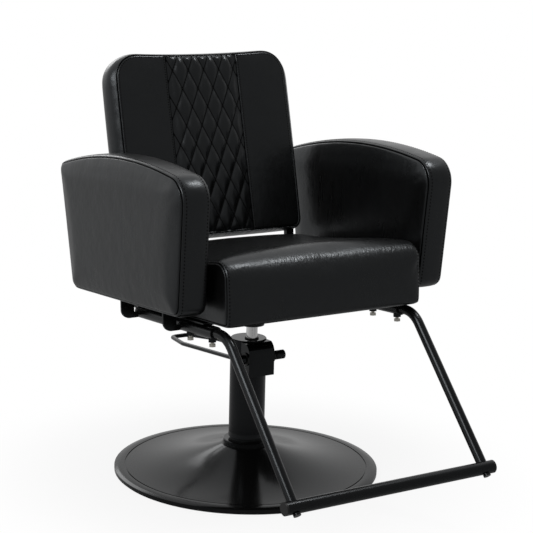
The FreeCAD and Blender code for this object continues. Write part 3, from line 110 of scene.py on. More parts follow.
class Network:
    """The nodes of one material, or of the world."""

    def __init__(self, tree):
        self.tree = tree

    def feed(self, socket, value):
        """Link a value of the network to a socket, or set a plain number or colour on it."""
        if isinstance(value, Tone):
            self.tree.links.new(value.socket, socket)
        else:
            socket.default_value = value

    def usable(self, sockets, key):
        """A socket by its number or name, leaving out those that the node's settings hide."""
        shown = [socket for socket in sockets if socket.enabled]
        return shown[key] if isinstance(key, int) else next(s for s in shown if s.name == key)

    def node(self, kind, sockets=None, out=0, **settings):
        """A new node; its settings come first, because they decide which sockets it shows."""
        made = self.tree.nodes.new(f"ShaderNode{kind}")
        for name, value in settings.items():
            setattr(made, name, value)
        for name, value in (sockets or {}).items():
            self.feed(self.usable(made.inputs, name), value)
        return Tone(self, self.usable(made.outputs, out)) if made.outputs else None

    def place(self):
        """Object coordinates, in metres."""
        return self.node("TexCoord", out="Object")

    def part_of(self, vector, axis):
        """One of the three numbers of a vector."""
        return self.node("SeparateXYZ", {"Vector": vector}, axis)

    def scaled(self, at, scale):
        """Coordinates that run faster along some axes than along others."""
        return self.node("Mapping", {"Vector": at, "Scale": scale})

    def noise(self, at, scale=1.0, detail=2):
        """Soft blotches from 0 to 1; the scale is about how many there are in a metre."""
        return self.node("TexNoise", {"Vector": at, "Scale": scale, "Detail": detail}, "Fac")

    def between(self, value, low, high, to_low=0.0, to_high=1.0):
        """A value eased from one range into another."""
        ranges = {"From Min": low, "From Max": high, "To Min": to_low, "To Max": to_high}
        return self.node("MapRange", {"Value": value, **ranges}, interpolation_type="SMOOTHSTEP")

    def blend(self, share, first, second):
        """A colour mixed from two."""
        return self.node("Mix", {"Factor": share, "A": first, "B": second}, data_type="RGBA")


print("shader sums ready")

# %% [markdown]
# ## A finish
# Each finish is one Principled surface. Hardly any colour of this chair is more than a shade of grey, so a
# colour is written as a level with a little warmth, and no surface has one flat colour: its level wanders
# between a darker and a lighter shade.

# %% A finish
GREEN_LOSS = 0.04
BLUE_LOSS = 0.16


def grey(level, warmth=0.0):
    """A near-neutral colour; warmth tints it towards yellow."""
    return (level, level * (1 - GREEN_LOSS * warmth), level * (1 - BLUE_LOSS * warmth), 1)


class Finish(Network):
    """A material with one Principled surface."""

    def __init__(self, name, **surface):
        self.material = bpy.data.materials.new(name)
        self.material.use_nodes = True
        super().__init__(self.material.node_tree)
        self.shader = self.tree.nodes["Principled BSDF"]
        self.set(**surface)

    def set(self, **surface):
        for name, value in surface.items():
            self.feed(self.shader.inputs[name.replace("_", " ")], value)

    def mottle(self, share, level, shades, warmth=0.0):
        """Let the colour wander between two shades of one level."""
        darker, lighter = (grey(level * shade, warmth) for shade in shades)
        self.set(Base_Color=self.blend(share, darker, lighter))

    def bump(self, height, rise):
        """Raise the surface by a height from 0 to 1, times a rise in metres."""
        self.set(Normal=self.node("Bump", {"Height": height, "Distance": rise}))


print("finishes ready")

# %% [markdown]
# ## Painted metal
# The tubes and the base have a satin powder coat, which is black paint with the faint ripple of an orange's
# skin. The pump's housing has a glossier enamel, and its cast foot a rougher paint. One function gives them
# all, because such coats differ only in gloss, ripple, darkness and sheen. No sprayed coat is even, so its
# level and its roughness wander slowly. Reflections on the real chair are a little cool, so the sheen is too.

# %% Painted metal
COOL_SHEEN = (0.94, 1.0, 1.05, 1)
COAT_BLACK = 0.003
COAT_SHEEN = 0.28
COAT_WANDER = 14
COAT_SHADES = (0.8, 1.3)
COAT_SPREAD = 0.12
PEEL = 420


def paint(name, roughness, ripple, level=COAT_BLACK, sheen=COAT_SHEEN):
    """A sprayed coat; ripple is the height in metres of its orange peel."""
    finish = Finish(name, Specular_IOR_Level=sheen, Specular_Tint=COOL_SHEEN)
    at = finish.place()
    wander = finish.noise(at, COAT_WANDER, detail=3)
    finish.mottle(wander, level, COAT_SHADES)
    finish.set(Roughness=wander * COAT_SPREAD + (roughness - COAT_SPREAD / 2))
    finish.bump(finish.noise(at, PEEL, detail=1), ripple)
    return finish.material


finishes = {
    "black_satin": paint("satin powder coat", roughness=0.25, ripple=0.000004),
    "black_gloss": paint("gloss enamel", roughness=0.14, ripple=0.000004, level=0.002),
    "cast": paint("painted casting", roughness=0.5, ripple=0.0002),
}
base_coat = paint("base powder coat", roughness=0.15, ripple=0.000003, sheen=0.18)
print(len(finishes) + 1, "painted finishes")

# %% [markdown]
# ## Plated and machined metal
# The piston rod is chromed, the bolts are plated with zinc, the pump's inside is machined, and a brass washer
# carries the seat. Machining leaves fine marks, which stretched noise gives: it runs faster along Z.

# %% Plated and machined metal
METAL_WANDER = 30
METAL_SHADES = (0.86, 1.0)
TURNING_MARKS = (300, 300, 1800)
MARK_ROUGHNESS = 0.1
MARK_RISE = 0.00002


def bare_metal(name, level, warmth, roughness):
    """Plated or machined metal with fine turning marks and a slow change of tone."""
    finish = Finish(name, Metallic=1.0)
    at = finish.place()
    marks = finish.noise(finish.scaled(at, TURNING_MARKS))
    finish.mottle(finish.noise(at, METAL_WANDER, detail=3), level, METAL_SHADES, warmth)
    finish.set(Roughness=marks * MARK_ROUGHNESS + roughness)
    finish.bump(marks, MARK_RISE)
    return finish.material


finishes["chrome"] = bare_metal("chrome", level=0.95, warmth=0.0, roughness=0.05)
finishes["steel"] = bare_metal("machined steel", level=0.5, warmth=0.1, roughness=0.28)
finishes["zinc"] = bare_metal("zinc plate", level=0.66, warmth=0.8, roughness=0.25)
finishes["brass"] = bare_metal("brass", level=0.72, warmth=3.0, roughness=0.3)
print(len(finishes), "finishes so far")

# %% [markdown]
# ## Rubber, plastic and wood
# A mould leaves a fine even grain on rubber and plastic. The boards inside the cushions are raw plywood, whose
# grain is noise stretched along X. Only the seat's board can be seen, from below, so it is black plastic.

# %% Rubber, plastic and wood
MOULD_GRAIN = 900
MOULD_WANDER = 25
MOULD_SHADES = (0.7, 1.4)
GRAIN_ROUGHNESS = 0.15
GRAIN_RISE = 0.00006
WOOD_GRAIN = (4, 60, 60)
WOOD_DARK = (0.30, 0.19, 0.09, 1)
WOOD_PALE = (0.58, 0.42, 0.24, 1)
WOOD_ROUGHNESS = 0.7
WOOD_RISE = 0.0002


def moulded(name, level, roughness):
    """Rubber or plastic with the fine texture of its mould."""
    finish = Finish(name)
    at = finish.place()
    grain = finish.noise(at, MOULD_GRAIN)
    finish.mottle(finish.noise(at, MOULD_WANDER), level, MOULD_SHADES)
    finish.set(Roughness=grain * GRAIN_ROUGHNESS + roughness)
    finish.bump(grain, GRAIN_RISE)
    return finish.material


def plywood(name):
    """Raw boards with long grain along X."""
    finish = Finish(name, Roughness=WOOD_ROUGHNESS)
    rings = finish.noise(finish.scaled(finish.place(), WOOD_GRAIN), detail=4)
    finish.set(Base_Color=finish.blend(rings, WOOD_DARK, WOOD_PALE))
    finish.bump(rings, WOOD_RISE)
    return finish.material


finishes["rubber"] = moulded("rubber", level=0.006, roughness=0.65)
finishes["black_plastic"] = moulded("black plastic", level=0.004, roughness=0.42)
finishes["plywood"] = plywood("plywood")
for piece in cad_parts.values():
    slot = piece.material_slots[0]
    slot.material = finishes.get(slot.material.name, slot.material)
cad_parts["seat_board"].material_slots[0].material = finishes["black_plastic"]
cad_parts["base_disc"].material_slots[0].material = base_coat
print(len(finishes), "finishes for the packed pieces")

# %% [markdown]
# ## The vinyl
# Upholstery vinyl is a soft plastic skin printed with pebbles about a millimetre and a half across. Low light
# shows more relief on it: the slow wander of the padding, smaller dents, and faint streaks. All are
# heights added together and fed to one Bump node, because a relief this shallow would need millions of faces
# as a mesh. Some pieces add creases of their own. The mesh gives the rest, and its attribute "seam" tells how
# deep a point lies in a seam. There the vinyl is mixed towards a near-black diffuse surface: a painted shade
# for the little light that comes into a seam.

# %% Vinyl
VINYL_BLACK = 0.0025
VINYL_SHADES = (0.8, 1.25)
VINYL_ROUGHNESS = 0.135
VINYL_RISE = 0.0007
WANDER = 7
WANDER_ROUGHNESS = 0.14
PADDING = 26
PADDING_ROUGHNESS = 0.08
PADDING_HEIGHT = 1.1
STREAKS = (160, 160, 9)
STREAK_ROUGHNESS = 0.12
STREAK_HEIGHT = 0.06
PEBBLES = 640
PEBBLE_HEIGHT = 0.10
DENTS = 62
DENT_HEIGHT = 0.4
SEAM_PAINTED_SHADE = 0.0015
SEAM_SHADE_FADE = (0.4, 0.95)


def vinyl(name, creases=None):
    """Black vinyl; creases is a function that gives the height of one piece's own creases."""
    finish = Finish(name, Specular_Tint=COOL_SHEEN)
    at = finish.place()
    pebbles = finish.node("TexVoronoi", {"Vector": at, "Scale": PEBBLES}, "Distance", feature="SMOOTH_F1")
    wander = finish.noise(at, WANDER, detail=3)
    padding = finish.noise(at, PADDING)
    dents = finish.noise(at, DENTS, detail=1)
    streaks = finish.noise(finish.scaled(at, STREAKS))
    finish.mottle(wander, VINYL_BLACK, VINYL_SHADES)
    uneven = wander * WANDER_ROUGHNESS + padding * PADDING_ROUGHNESS + streaks * STREAK_ROUGHNESS
    finish.set(Roughness=uneven + VINYL_ROUGHNESS)
    height = pebbles * PEBBLE_HEIGHT + padding * PADDING_HEIGHT + dents * DENT_HEIGHT + streaks * STREAK_HEIGHT
    if creases:
        height = height + creases(finish, at)
    finish.bump(height, VINYL_RISE)
    # painted shade: by the depth in the attribute "seam", the surface is mixed towards a near-black diffuse in
    # seams
    painted_shade_share = finish.between(finish.node("Attribute", out="Fac", attribute_name="seam"), *SEAM_SHADE_FADE)
    shade = finish.node("BsdfDiffuse", {"Color": grey(SEAM_PAINTED_SHADE)})
    surface = Tone(finish, finish.shader.outputs["BSDF"])
    mixed = finish.node("MixShader", {0: painted_shade_share, 1: surface, 2: shade})
    finish.feed(finish.tree.nodes["Material Output"].inputs["Surface"], mixed)
    return finish.material


cover = vinyl("black vinyl")
print("vinyl ready")

# %% [markdown]
# ## The thread
# The seams are sewn with bonded black thread. It is twisted and dull, so it shows as dark dashes on the
# glossier vinyl.

# %% Thread
THREAD_BLACK = 0.004
THREAD_SHADES = (0.25, 1.0)
THREAD_SHEEN = 0.08
THREAD_ROUGHNESS = 0.6
TWIST = 2200
TWIST_ROUGHNESS = 0.2
TWIST_RISE = 0.0001


def thread(name):
    finish = Finish(name, Specular_IOR_Level=THREAD_SHEEN)
    twist = finish.noise(finish.place(), TWIST, detail=1)
    finish.mottle(twist, THREAD_BLACK, THREAD_SHADES)
    finish.set(Roughness=twist * TWIST_ROUGHNESS + THREAD_ROUGHNESS)
    finish.bump(twist, TWIST_RISE)
    return finish.material


sewing_thread = thread("sewing thread")
print("thread ready")

# %% [markdown]
# ## Where things are
# The seat, its arms and its back lean together, so each is drawn level in a frame of its own. A frame is a
# matrix: the seat's origin stands over the pump and tilts back four degrees, and the back's origin is at the
# lower edge of the back's front, leaning ten degrees more.

# %% Frames of the seat and the back
SEAT_HEIGHT = 0.430
SEAT_TILT = radians(4)
BACK_FRONT = 0.128
BACK_FOOT = 0.117
BACK_LEAN = radians(10)

seat_frame = Matrix.Translation((0, 0, SEAT_HEIGHT)) @ Matrix.Rotation(-SEAT_TILT, 4, "X")
back_frame = seat_frame @ Matrix.Translation((0, BACK_FRONT, BACK_FOOT)) @ Matrix.Rotation(-BACK_LEAN, 4, "X")
to_seat = seat_frame.inverted()
to_back = back_frame.inverted()
print("back starts at", [round(c, 4) for c in back_frame.translation])

# %% [markdown]
# ## Cutting a panel
# Every cushion here is the same kind of box: two flat panels of one outline, and a band sewn round between
# them. An outline is four corners with rounded turns and sides that may bow. The turns are Bezier curves that
# leave and meet the sides along their own direction, so a bowed side runs into its corner with no kink. A
# handle a little over half as long as the turn makes it nearly round.

# %% Outlines
from mathutils.geometry import interpolate_bezier

CURVE_STEPS = 24
TURN_HANDLE = 0.55


def bowed(start, end, bow, share):
    """A point on a side that bows to the right of its way, by the full distance at its middle."""
    way = end - start
    outward = Vector((way.y, -way.x)).normalized()
    return start + way * share + outward * bow * 4 * share * (1 - share)


def outline(corners, turns, bows):
    """Points round four corners, and the number of the point in the middle of each turn."""
    corners = [Vector(corner) for corner in corners]
    sides = []
    for i, start in enumerate(corners):
        end = corners[(i + 1) % 4]
        first = turns[i] / (end - start).length
        last = 1 - turns[(i + 1) % 4] / (end - start).length
        shares = [first + (last - first) * n / CURVE_STEPS for n in range(CURVE_STEPS + 1)]
        sides.append([bowed(start, end, bows[i], share) for share in shares])
    points = []
    middles = []
    for before, side, turn in zip(sides[-1:] + sides[:-1], sides, turns):
        reach = TURN_HANDLE * turn
        leave = before[-1] + (before[-1] - before[-2]).normalized() * reach
        arrive = side[0] + (side[0] - side[1]).normalized() * reach
        bend = interpolate_bezier(before[-1], leave, arrive, side[0], CURVE_STEPS + 1)
        middles.append(len(points) + CURVE_STEPS // 2)
        points += bend[:-1] + side[:-1]
    return points, middles


def drawn_in(points, depth):
    """An outline drawn in by a depth all round."""
    moved = []
    for before, point, after in zip(points[-1:] + points[:-1], points, points[1:] + points[:1]):
        way = (after - before).normalized()
        moved.append(point + Vector((-way.y, way.x)) * depth)
    return moved


print("outlines ready")

# %% [markdown]
# ## Equal steps
# A panel's grid and a row of stitches both need points at equal steps along a line. Each side of a panel runs
# from the middle of one turn to the middle of the next.

# %% Equal steps
def length_of(points):
    return sum((b - a).length for a, b in zip(points, points[1:]))


def spaced(points, count):
    """Points at equal steps along a line."""
    along = [0.0]
    for a, b in zip(points, points[1:]):
        along.append(along[-1] + (b - a).length)
    picked = []
    k = 0
    for n in range(count + 1):
        want = along[-1] * n / count
        while k < len(points) - 2 and along[k + 1] < want:
            k += 1
        picked.append(points[k].lerp(points[k + 1], (want - along[k]) / (along[k + 1] - along[k])))
    return picked


def four_sides(cut, depth, columns, rows):
    """The drawn-in outline as four lines of equal steps, from turn to turn."""
    points, middles = cut
    ring = drawn_in(points, depth) * 2
    ends = middles[1:] + [middles[0] + len(points)]
    counts = (columns, rows, columns, rows)
    return [spaced(ring[a:b + 1], count) for a, b, count in zip(middles, ends, counts)]


print("steps ready")

# %% [markdown]
# ## Sewing a cushion
# A grid of squares is stretched over each panel: its border lies on the outline, and its inside is blended
# from the four sides, so every face stays a neat square that the cloth solver and the smoothing can use. The
# border of the first panel is then extruded, step by step, into the band, and a second panel closes it. The
# edges where panel and band meet are marked as seams. Last, the elements are sorted: the cloth solver adds its
# forces up in their order, and with another order a soft top settles a little differently.

# %% Cushion from panels
import bmesh

TOUCHING = 1e-6


def border_number(i, j, columns, rows):
    """Counts the points round a grid's border from its first corner; -1 inside it."""
    if j == 0:
        return i
    if i == columns:
        return columns + j
    if j == rows:
        return 2 * columns + rows - i
    return 2 * (columns + rows) - j if i == 0 else -1


def panel(bm, cut, station, grid, around):
    """A grid over one outline at a (depth, inset) station; around numbers the points of its border."""
    depth, inset = station
    columns, rows = grid
    bottom, right, top, left = four_sides(cut, inset, columns, rows)
    top = top[::-1]
    left = left[::-1]
    for vert in bmesh.ops.create_grid(bm, x_segments=columns, y_segments=rows, size=1)["verts"]:
        i = round((vert.co.x + 1) / 2 * columns)
        j = round((vert.co.y + 1) / 2 * rows)
        s = i / columns
        t = j / rows
        sides = bottom[i] * (1 - t) + top[i] * t + left[j] * (1 - s) + right[j] * s
        ends = (bottom[0] * (1 - s) * (1 - t) + right[0] * s * (1 - t)
                + right[-1] * s * t + left[-1] * (1 - s) * t)
        vert.co = (depth, *(sides - ends))
        vert[around] = border_number(i, j, columns, rows)


def mark_seams(bm, around, depths, border):
    """Mark the edges round both panels: they join neighbours on the border, at a panel's depth."""
    for edge in bm.edges:
        first, second = (vert[around] for vert in edge.verts)
        neighbours = min(first, second) >= 0 and abs(first - second) in (1, border - 1)
        level = [min(abs(vert.co.x - depth) for depth in depths) < TOUCHING for vert in edge.verts]
        edge.seam = neighbours and all(level)


def corner_numbers(part):
    return sorted(vert.index for vert in part.verts)


def put_in_order(elements, key):
    """Sort a mesh's elements, because extruding leaves them in an order that changes from run to run."""
    ranks = {element: rank for rank, element in enumerate(sorted(elements, key=key))}
    elements.sort(key=ranks.get)
    elements.index_update()


def sewn_cushion(cut, stations, grid, place, shape):
    """A closed cushion from (depth, inset) stations; shape moves its points before it is placed."""
    bm = bmesh.new()
    around = bm.verts.layers.int.new("around")
    panel(bm, cut, stations[0], grid, around)
    edges = [edge for edge in bm.edges if edge.is_boundary]
    for depth, inset in stations[1:]:
        made = bmesh.ops.extrude_edge_only(bm, edges=edges)["geom"]
        ring = [point for side in four_sides(cut, inset, *grid) for point in side[:-1]]
        for vert in (item for item in made if isinstance(item, bmesh.types.BMVert)):
            vert.co = (depth, *ring[vert[around]])
        edges = [item for item in made if isinstance(item, bmesh.types.BMEdge) and item.is_boundary]
    panel(bm, cut, stations[-1], grid, around)
    bmesh.ops.remove_doubles(bm, verts=bm.verts, dist=TOUCHING)
    mark_seams(bm, around, (stations[0][0], stations[-1][0]), 2 * sum(grid))
    for vert in bm.verts:
        vert.co = shape(vert.co)
    bmesh.ops.transform(bm, matrix=place, verts=bm.verts)
    put_in_order(bm.verts, lambda vert: tuple(vert.co))
    put_in_order(bm.edges, corner_numbers)
    put_in_order(bm.faces, corner_numbers)
    bmesh.ops.recalc_face_normals(bm, faces=bm.faces)
    return bm


def piece_from(name, bm, material):
    """A smooth mesh piece at the origin, with one material."""
    bm.normal_update()
    mesh = bpy.data.meshes.new(name)
    bm.to_mesh(mesh)
    bm.free()
    mesh.shade_smooth()
    mesh.materials.append(material)
    piece = bpy.data.objects.new(name, mesh)
    scene.collection.objects.link(piece)
    return piece


print("sewing ready")

# %% [markdown]
# ## Padding
# Foam presses the vinyl outwards, and the seams hold it back. That is what a cloth with pressure does when the
# points of its seams are pinned. The solver would blow a panel up like a balloon, so each point's way is eased
# against a limit. Twenty frames are enough, and the result is written into the mesh.

# %% Cloth padding
from math import tanh

SIM_FRAMES = 20
SIM_QUALITY = 4
CLOTH_MASS = 0.4
FOAM_PRESSURE = 4.0


def pad(piece, pinned, limit, pressure=FOAM_PRESSURE):
    """Puff a piece up between its pinned points; no point moves further than the limit."""
    group = piece.vertex_groups.new(name="sewn")
    group.add(pinned, 1.0, "REPLACE")
    cloth = piece.modifiers.new("padding", "CLOTH")
    cloth.settings.quality = SIM_QUALITY
    cloth.collision_settings.use_collision = False
    cloth.settings.mass = CLOTH_MASS
    cloth.settings.use_pressure = True
    cloth.settings.uniform_pressure_force = pressure
    cloth.settings.vertex_group_mass = "sewn"
    cloth.settings.effector_weights.gravity = 0
    cloth.point_cache.frame_start = 1
    cloth.point_cache.frame_end = SIM_FRAMES
    for number in range(1, SIM_FRAMES + 1):
        scene.frame_set(number)
    solved = piece.evaluated_get(bpy.context.evaluated_depsgraph_get())
    moves = [after.co - before.co for after, before in zip(solved.data.vertices, piece.data.vertices)]
    piece.modifiers.remove(cloth)
    piece.vertex_groups.remove(group)
    for vert, move in zip(piece.data.vertices, moves):
        vert.co += move.normalized() * limit * tanh(move.length / limit)
    scene.frame_set(1)
    furthest = max(move.length for move in moves)
    print(piece.name, "padded by up to", round(1000 * furthest, 1), "mm before its limit")


print("padding ready")

# %% [markdown]
# ## Seams
# Where two panels are sewn together, the thread pulls both edges down into a narrow valley. A bevel splits the
# seam's edge into a few rows of faces, and the rows in the middle are pushed in along their normals. The depth
# of each point is kept in the attribute "seam", which the vinyl reads to paint shade into the valley. A
# subdivision then rounds the whole.

# %% Sunk seams
SEAM_WIDTH = 0.0021
SEAM_DEPTH = 0.0036
VALLEY_ROWS = 4
SLOPE_SHARE = 0.55
SMOOTH_LEVELS = 1


def seam_points(piece):
    """Numbers of the points on a piece's seams."""
    return {number for edge in piece.data.edges if edge.use_seam for number in edge.vertices}


def sink_seams(piece):
    """Split each seam into a narrow valley, and note in the attribute "seam" how deep each point lies; the
    vinyl paints shade there by it.
    """
    bm = bmesh.new()
    bm.from_mesh(piece.data)
    sunk = bm.verts.layers.float.new("seam")
    seams = [edge for edge in bm.edges if edge.seam]
    made = bmesh.ops.bevel(bm, geom=seams, offset=SEAM_WIDTH, offset_type="OFFSET", segments=VALLEY_ROWS,
                           profile=0.5, affect="EDGES", material=-1)
    valley = set(made["faces"])
    bm.normal_update()
    slopes = {vert for vert in made["verts"] if valley.issuperset(vert.link_faces)}
    for vert in slopes:
        lowest = all(edge.other_vert(vert) in slopes for edge in vert.link_edges)
        # the share moves the point in and also sets how much painted shade the vinyl gives it
        vert[sunk] = 1.0 if lowest else SLOPE_SHARE
    moves = [(vert, vert.normal * SEAM_DEPTH * vert[sunk]) for vert in slopes]
    for vert, move in moves:
        vert.co -= move
    bm.to_mesh(piece.data)
    bm.free()
    piece.data.shade_smooth()


def smooth_out(piece):
    smooth = piece.modifiers.new("smooth", "SUBSURF")
    smooth.levels = SMOOTH_LEVELS
    smooth.render_levels = SMOOTH_LEVELS


def upholster(piece, node):
    """Let a finished cushion stand for its foam block and move with the seat."""
    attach(piece, "seat")
    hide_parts(node)
    reach = [max(abs(vert.co[axis]) for vert in piece.data.vertices) for axis in range(3)]
    print(piece.name, "reaches", [round(value, 4) for value in reach])


print("seams ready")

# %% [markdown]
# ## Stitches
# Beside a seam runs a row of top stitches, six to eight millimetres each. They are too small to model richly
# and too many to leave out, so each is a flat spindle of a few faces, laid on the nearest spot of the finished
# surface. The nearest spot comes from a BVH tree, Blender's fast index of a mesh.

# %% Stitches
from mathutils.bvhtree import BVHTree

STITCH_SHARE = 0.58
STITCH_WIDE = 0.0030
STITCH_HIGH = 0.0014
SPINDLE_SIDES = 6
SPINDLE_RINGS = 4
FEWEST_STITCHES = 2


def stitched(name, rows, surface, pitch):
    """Rows of stitches, each along a line of points, on a piece's surface."""
    tree = BVHTree.FromObject(surface, bpy.context.evaluated_depsgraph_get())
    bm = bmesh.new()
    spindle = bpy.data.meshes.new("spindle")
    size = Matrix.Diagonal((STITCH_WIDE / 2, STITCH_HIGH / 2, STITCH_SHARE * pitch / 2, 1))
    for row in rows:
        line = spaced(row, max(FEWEST_STITCHES, round(length_of(row) / pitch)))
        for before, after in zip(line, line[1:]):
            spot, normal, _, _ = tree.find_nearest((before + after) / 2)
            way = (after - before).normalized()
            across = way.cross(normal).normalized()
            lift = across.cross(way)
            turn = Matrix((across, lift, way)).transposed().to_4x4()
            stitch = bmesh.new()
            bmesh.ops.create_uvsphere(stitch, u_segments=SPINDLE_SIDES, v_segments=SPINDLE_RINGS, radius=1,
                                      matrix=Matrix.Translation(spot) @ turn @ size)
            stitch.to_mesh(spindle)
            stitch.free()
            bm.from_mesh(spindle)
    bpy.data.meshes.remove(spindle)
    print(name, len(bm.faces) // (SPINDLE_SIDES * SPINDLE_RINGS), "stitches")
    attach(piece_from(name, bm, sewing_thread), "seat")


def line_on(cut, depth, inset, place, keep=None, shape=Vector):
    """World points along an outline at a depth; keep tells which of its points belong to the row."""
    ring = drawn_in(cut[0], inset)
    ring = ring + ring[:1]
    return [place @ shape(Vector((depth, *point))) for point in ring if keep is None or keep(point)]


print("stitching ready")

# %% [markdown]
# ## Outline of an arm
# Each arm is a slab with a bowed top. Its seams lie a few millimetres in from the edge on both faces. The
# faces will swell between the seams, so a k-d tree, an index of points, is filled with closely spaced points
# of the seam and later tells how far any point of a face is from it.

# %% Arm outline
from mathutils.kdtree import KDTree

ARM_FOOT = 0.0068
ARM_HEIGHT = 0.2935
ARM_CORNERS = ((-0.271, ARM_FOOT), (0.219, ARM_FOOT), (0.258, ARM_HEIGHT), (-0.3150, 0.2895))
ARM_TURNS = (0.022, 0.022, 0.018, 0.052)
ARM_BOWS = (0.0, 0.0, 0.0345, 0.0)
ARM_SWELL = 0.006
SEAM_SPOTS = 1000

arm_cut = outline(ARM_CORNERS, ARM_TURNS, ARM_BOWS)
arm_seam = drawn_in(arm_cut[0], ARM_SWELL)
seam_spots = spaced(arm_seam + arm_seam[:1], SEAM_SPOTS)
seam_tree = KDTree(len(seam_spots))
for number, spot in enumerate(seam_spots):
    seam_tree.insert((0, *spot), number)
seam_tree.balance()
print("arm seam", round(length_of(seam_spots), 3), "m long")

# %% [markdown]
# ## Shape of an arm
# Three forms make the slab a cushion. The band between the seams rolls outwards behind each of them. The two
# faces rise steeply from their seams and flatten towards the middle, as a pillow does. And the arm leans out:
# its foot is drawn in towards the seat by a few millimetres.

# %% Arm shape
from math import sin, sqrt

ARM_INNER_SEAM = 0.2785
ARM_OUTER_SEAM = 0.3440
ARM_ROLL = 0.026
ARM_BAND = (0, 0.0025, 0.006, 0.011, 0.018, 0.025, (ARM_OUTER_SEAM - ARM_INNER_SEAM) / 2)
ARM_CROWN = 0.008
ARM_EDGE = 0.026
ARM_SPLAY = 0.005
PILLOW_POWER = 0.8


def rolled(depth, swell, roll):
    """How far the band is still drawn in at a depth behind its seam."""
    left = max(0.0, 1 - depth / roll)
    return swell * (1 - sqrt(1 - left * left))


def band(first, last, depths, swell, roll):
    """Stations of a band that rolls outwards behind both of its seams and meets in the middle."""
    near = [(first + depth, rolled(depth, swell, roll)) for depth in depths]
    far = [(last - depth, inset) for (_, inset), depth in zip(near, depths)]
    return near + far[::-1][1:]


def rounded(share):
    """The side of a pillow: steep at its seam, flat on top."""
    return sin(pi / 2 * min(1.0, max(0.0, share))) ** PILLOW_POWER


def splay_at(height):
    """How far an arm is drawn in at a height."""
    return ARM_SPLAY * (1 - height / ARM_HEIGHT)


def splayed(point):
    """Draw the foot of an arm in towards the seat."""
    return Vector((point.x - splay_at(point.z), point.y, point.z))


def pillowed(point):
    """Swell the two faces of an arm between their seams, then splay it."""
    _, _, to_seam = seam_tree.find((0, point.y, point.z))
    swell = ARM_CROWN * rounded(to_seam / ARM_EDGE)
    if abs(point.x - ARM_INNER_SEAM) < TOUCHING:
        point = point - Vector((swell, 0, 0))
    elif abs(point.x - ARM_OUTER_SEAM) < TOUCHING:
        point = point + Vector((swell, 0, 0))
    return splayed(point)


arm_stations = band(ARM_INNER_SEAM, ARM_OUTER_SEAM, ARM_BAND, ARM_SWELL, ARM_ROLL)
print("arm band of", len(arm_stations), "rows of points")

# %% [markdown]
# ## The two arms
# The band keeps its drawn shape, so its points are pinned as well as the seams, and only the faces are puffed
# up. One arm is sewn, and the other is its mirror image, turned right side out again because mirroring flips
# every face. A row of stitches follows each seam on the band.

# %% Sewn arms
ARM_GRID = (64, 36)
ARM_PUFF = 0.003
ARM_STITCH_INSET = 0.0078
LONG_PITCH = 0.0075
NEARBY = 1e-5


def on_arm_band(point):
    """Whether a world point of the left arm lies between its seams."""
    local = to_seat @ point
    across = local.x + splay_at(local.z)
    return ARM_INNER_SEAM + NEARBY < across < ARM_OUTER_SEAM - NEARBY


arm_bm = sewn_cushion(arm_cut, arm_stations, ARM_GRID, seat_frame, pillowed)
arm_left = piece_from("sewn_arm_left", arm_bm, cover)
around_band = {vert.index for vert in arm_left.data.vertices if on_arm_band(vert.co)}
pad(arm_left, sorted(seam_points(arm_left) | around_band), ARM_PUFF)
sink_seams(arm_left)

mirrored = bmesh.new()
mirrored.from_mesh(arm_left.data)
bmesh.ops.transform(mirrored, matrix=Matrix.Scale(-1, 4, (1, 0, 0)), verts=mirrored.verts)
bmesh.ops.recalc_face_normals(mirrored, faces=mirrored.faces)
arm_right = piece_from("sewn_arm_right", mirrored, cover)

arm_inset = rolled(ARM_STITCH_INSET, ARM_SWELL, ARM_ROLL)
arm_depths = (ARM_INNER_SEAM + ARM_STITCH_INSET, ARM_OUTER_SEAM - ARM_STITCH_INSET)
for side, arm, sign in (("left", arm_left, 1), ("right", arm_right, -1)):
    smooth_out(arm)
    upholster(arm, f"arm_cushion_{side}")
    place = Matrix.Scale(sign, 4, (1, 0, 0)) @ seat_frame
    rows = [line_on(arm_cut, depth, arm_inset, place, shape=splayed) for depth in arm_depths]
    stitched(f"arm_stitches_{side}", rows, arm, LONG_PITCH)

# %% [markdown]
# ## Outline of the seat
# The seat's cover runs over the front edge and back in one piece, with a panel sewn in at each side. Its top
# is dished from front to rear by sitting, which is a side of the outline that bows inwards, and it is crowned
# from side to side by the foam.

# %% Seat shape
SEAT_SEAM = 0.2485
SEAT_UNDER = -0.0185
SEAT_FRONT = -0.311
SEAT_REAR = 0.143
SEAT_CORNERS = ((SEAT_FRONT, SEAT_UNDER), (SEAT_REAR, SEAT_UNDER), (SEAT_REAR, 0.0915), (SEAT_FRONT, 0.1275))
SEAT_TURNS = (0.008, 0.008, 0.022, 0.046)
SEAT_BOWS = (0.0, 0.003, -0.006, 0.003)
SEAT_SWELL = 0.006
SEAT_ROLL = 0.016
SEAT_BAND = (0, 0.003, 0.007, 0.012, 0.019, 0.029, 0.041, 0.055, 0.07, 0.086, 0.103, 0.121, 0.14, 0.16, 0.181,
             0.2025, 0.2245, SEAT_SEAM)
SEAT_CROWN = 0.006
CROWN_FROM = 0.05
CROWN_FADE = 0.04


def crowned(point):
    """Raise the top of the seat towards its middle."""
    share = min(1.0, max(0.0, (point.z - CROWN_FROM) / CROWN_FADE))
    lift = SEAT_CROWN * (1 - (point.x / SEAT_SEAM) ** 2) * share
    return Vector((point.x, point.y, point.z + lift))


seat_cut = outline(SEAT_CORNERS, SEAT_TURNS, SEAT_BOWS)
seat_stations = band(-SEAT_SEAM, SEAT_SEAM, SEAT_BAND, SEAT_SWELL, SEAT_ROLL)
print("seat band of", len(seat_stations), "rows of points")

# %% [markdown]
# ## Creases at the seat's front
# Where the vinyl is pulled over the front edge it breaks into fine creases, in patches. They are the edges of
# stretched Voronoi cells, kept to a strip along the edge by two ranges of place, and to patches by noise.

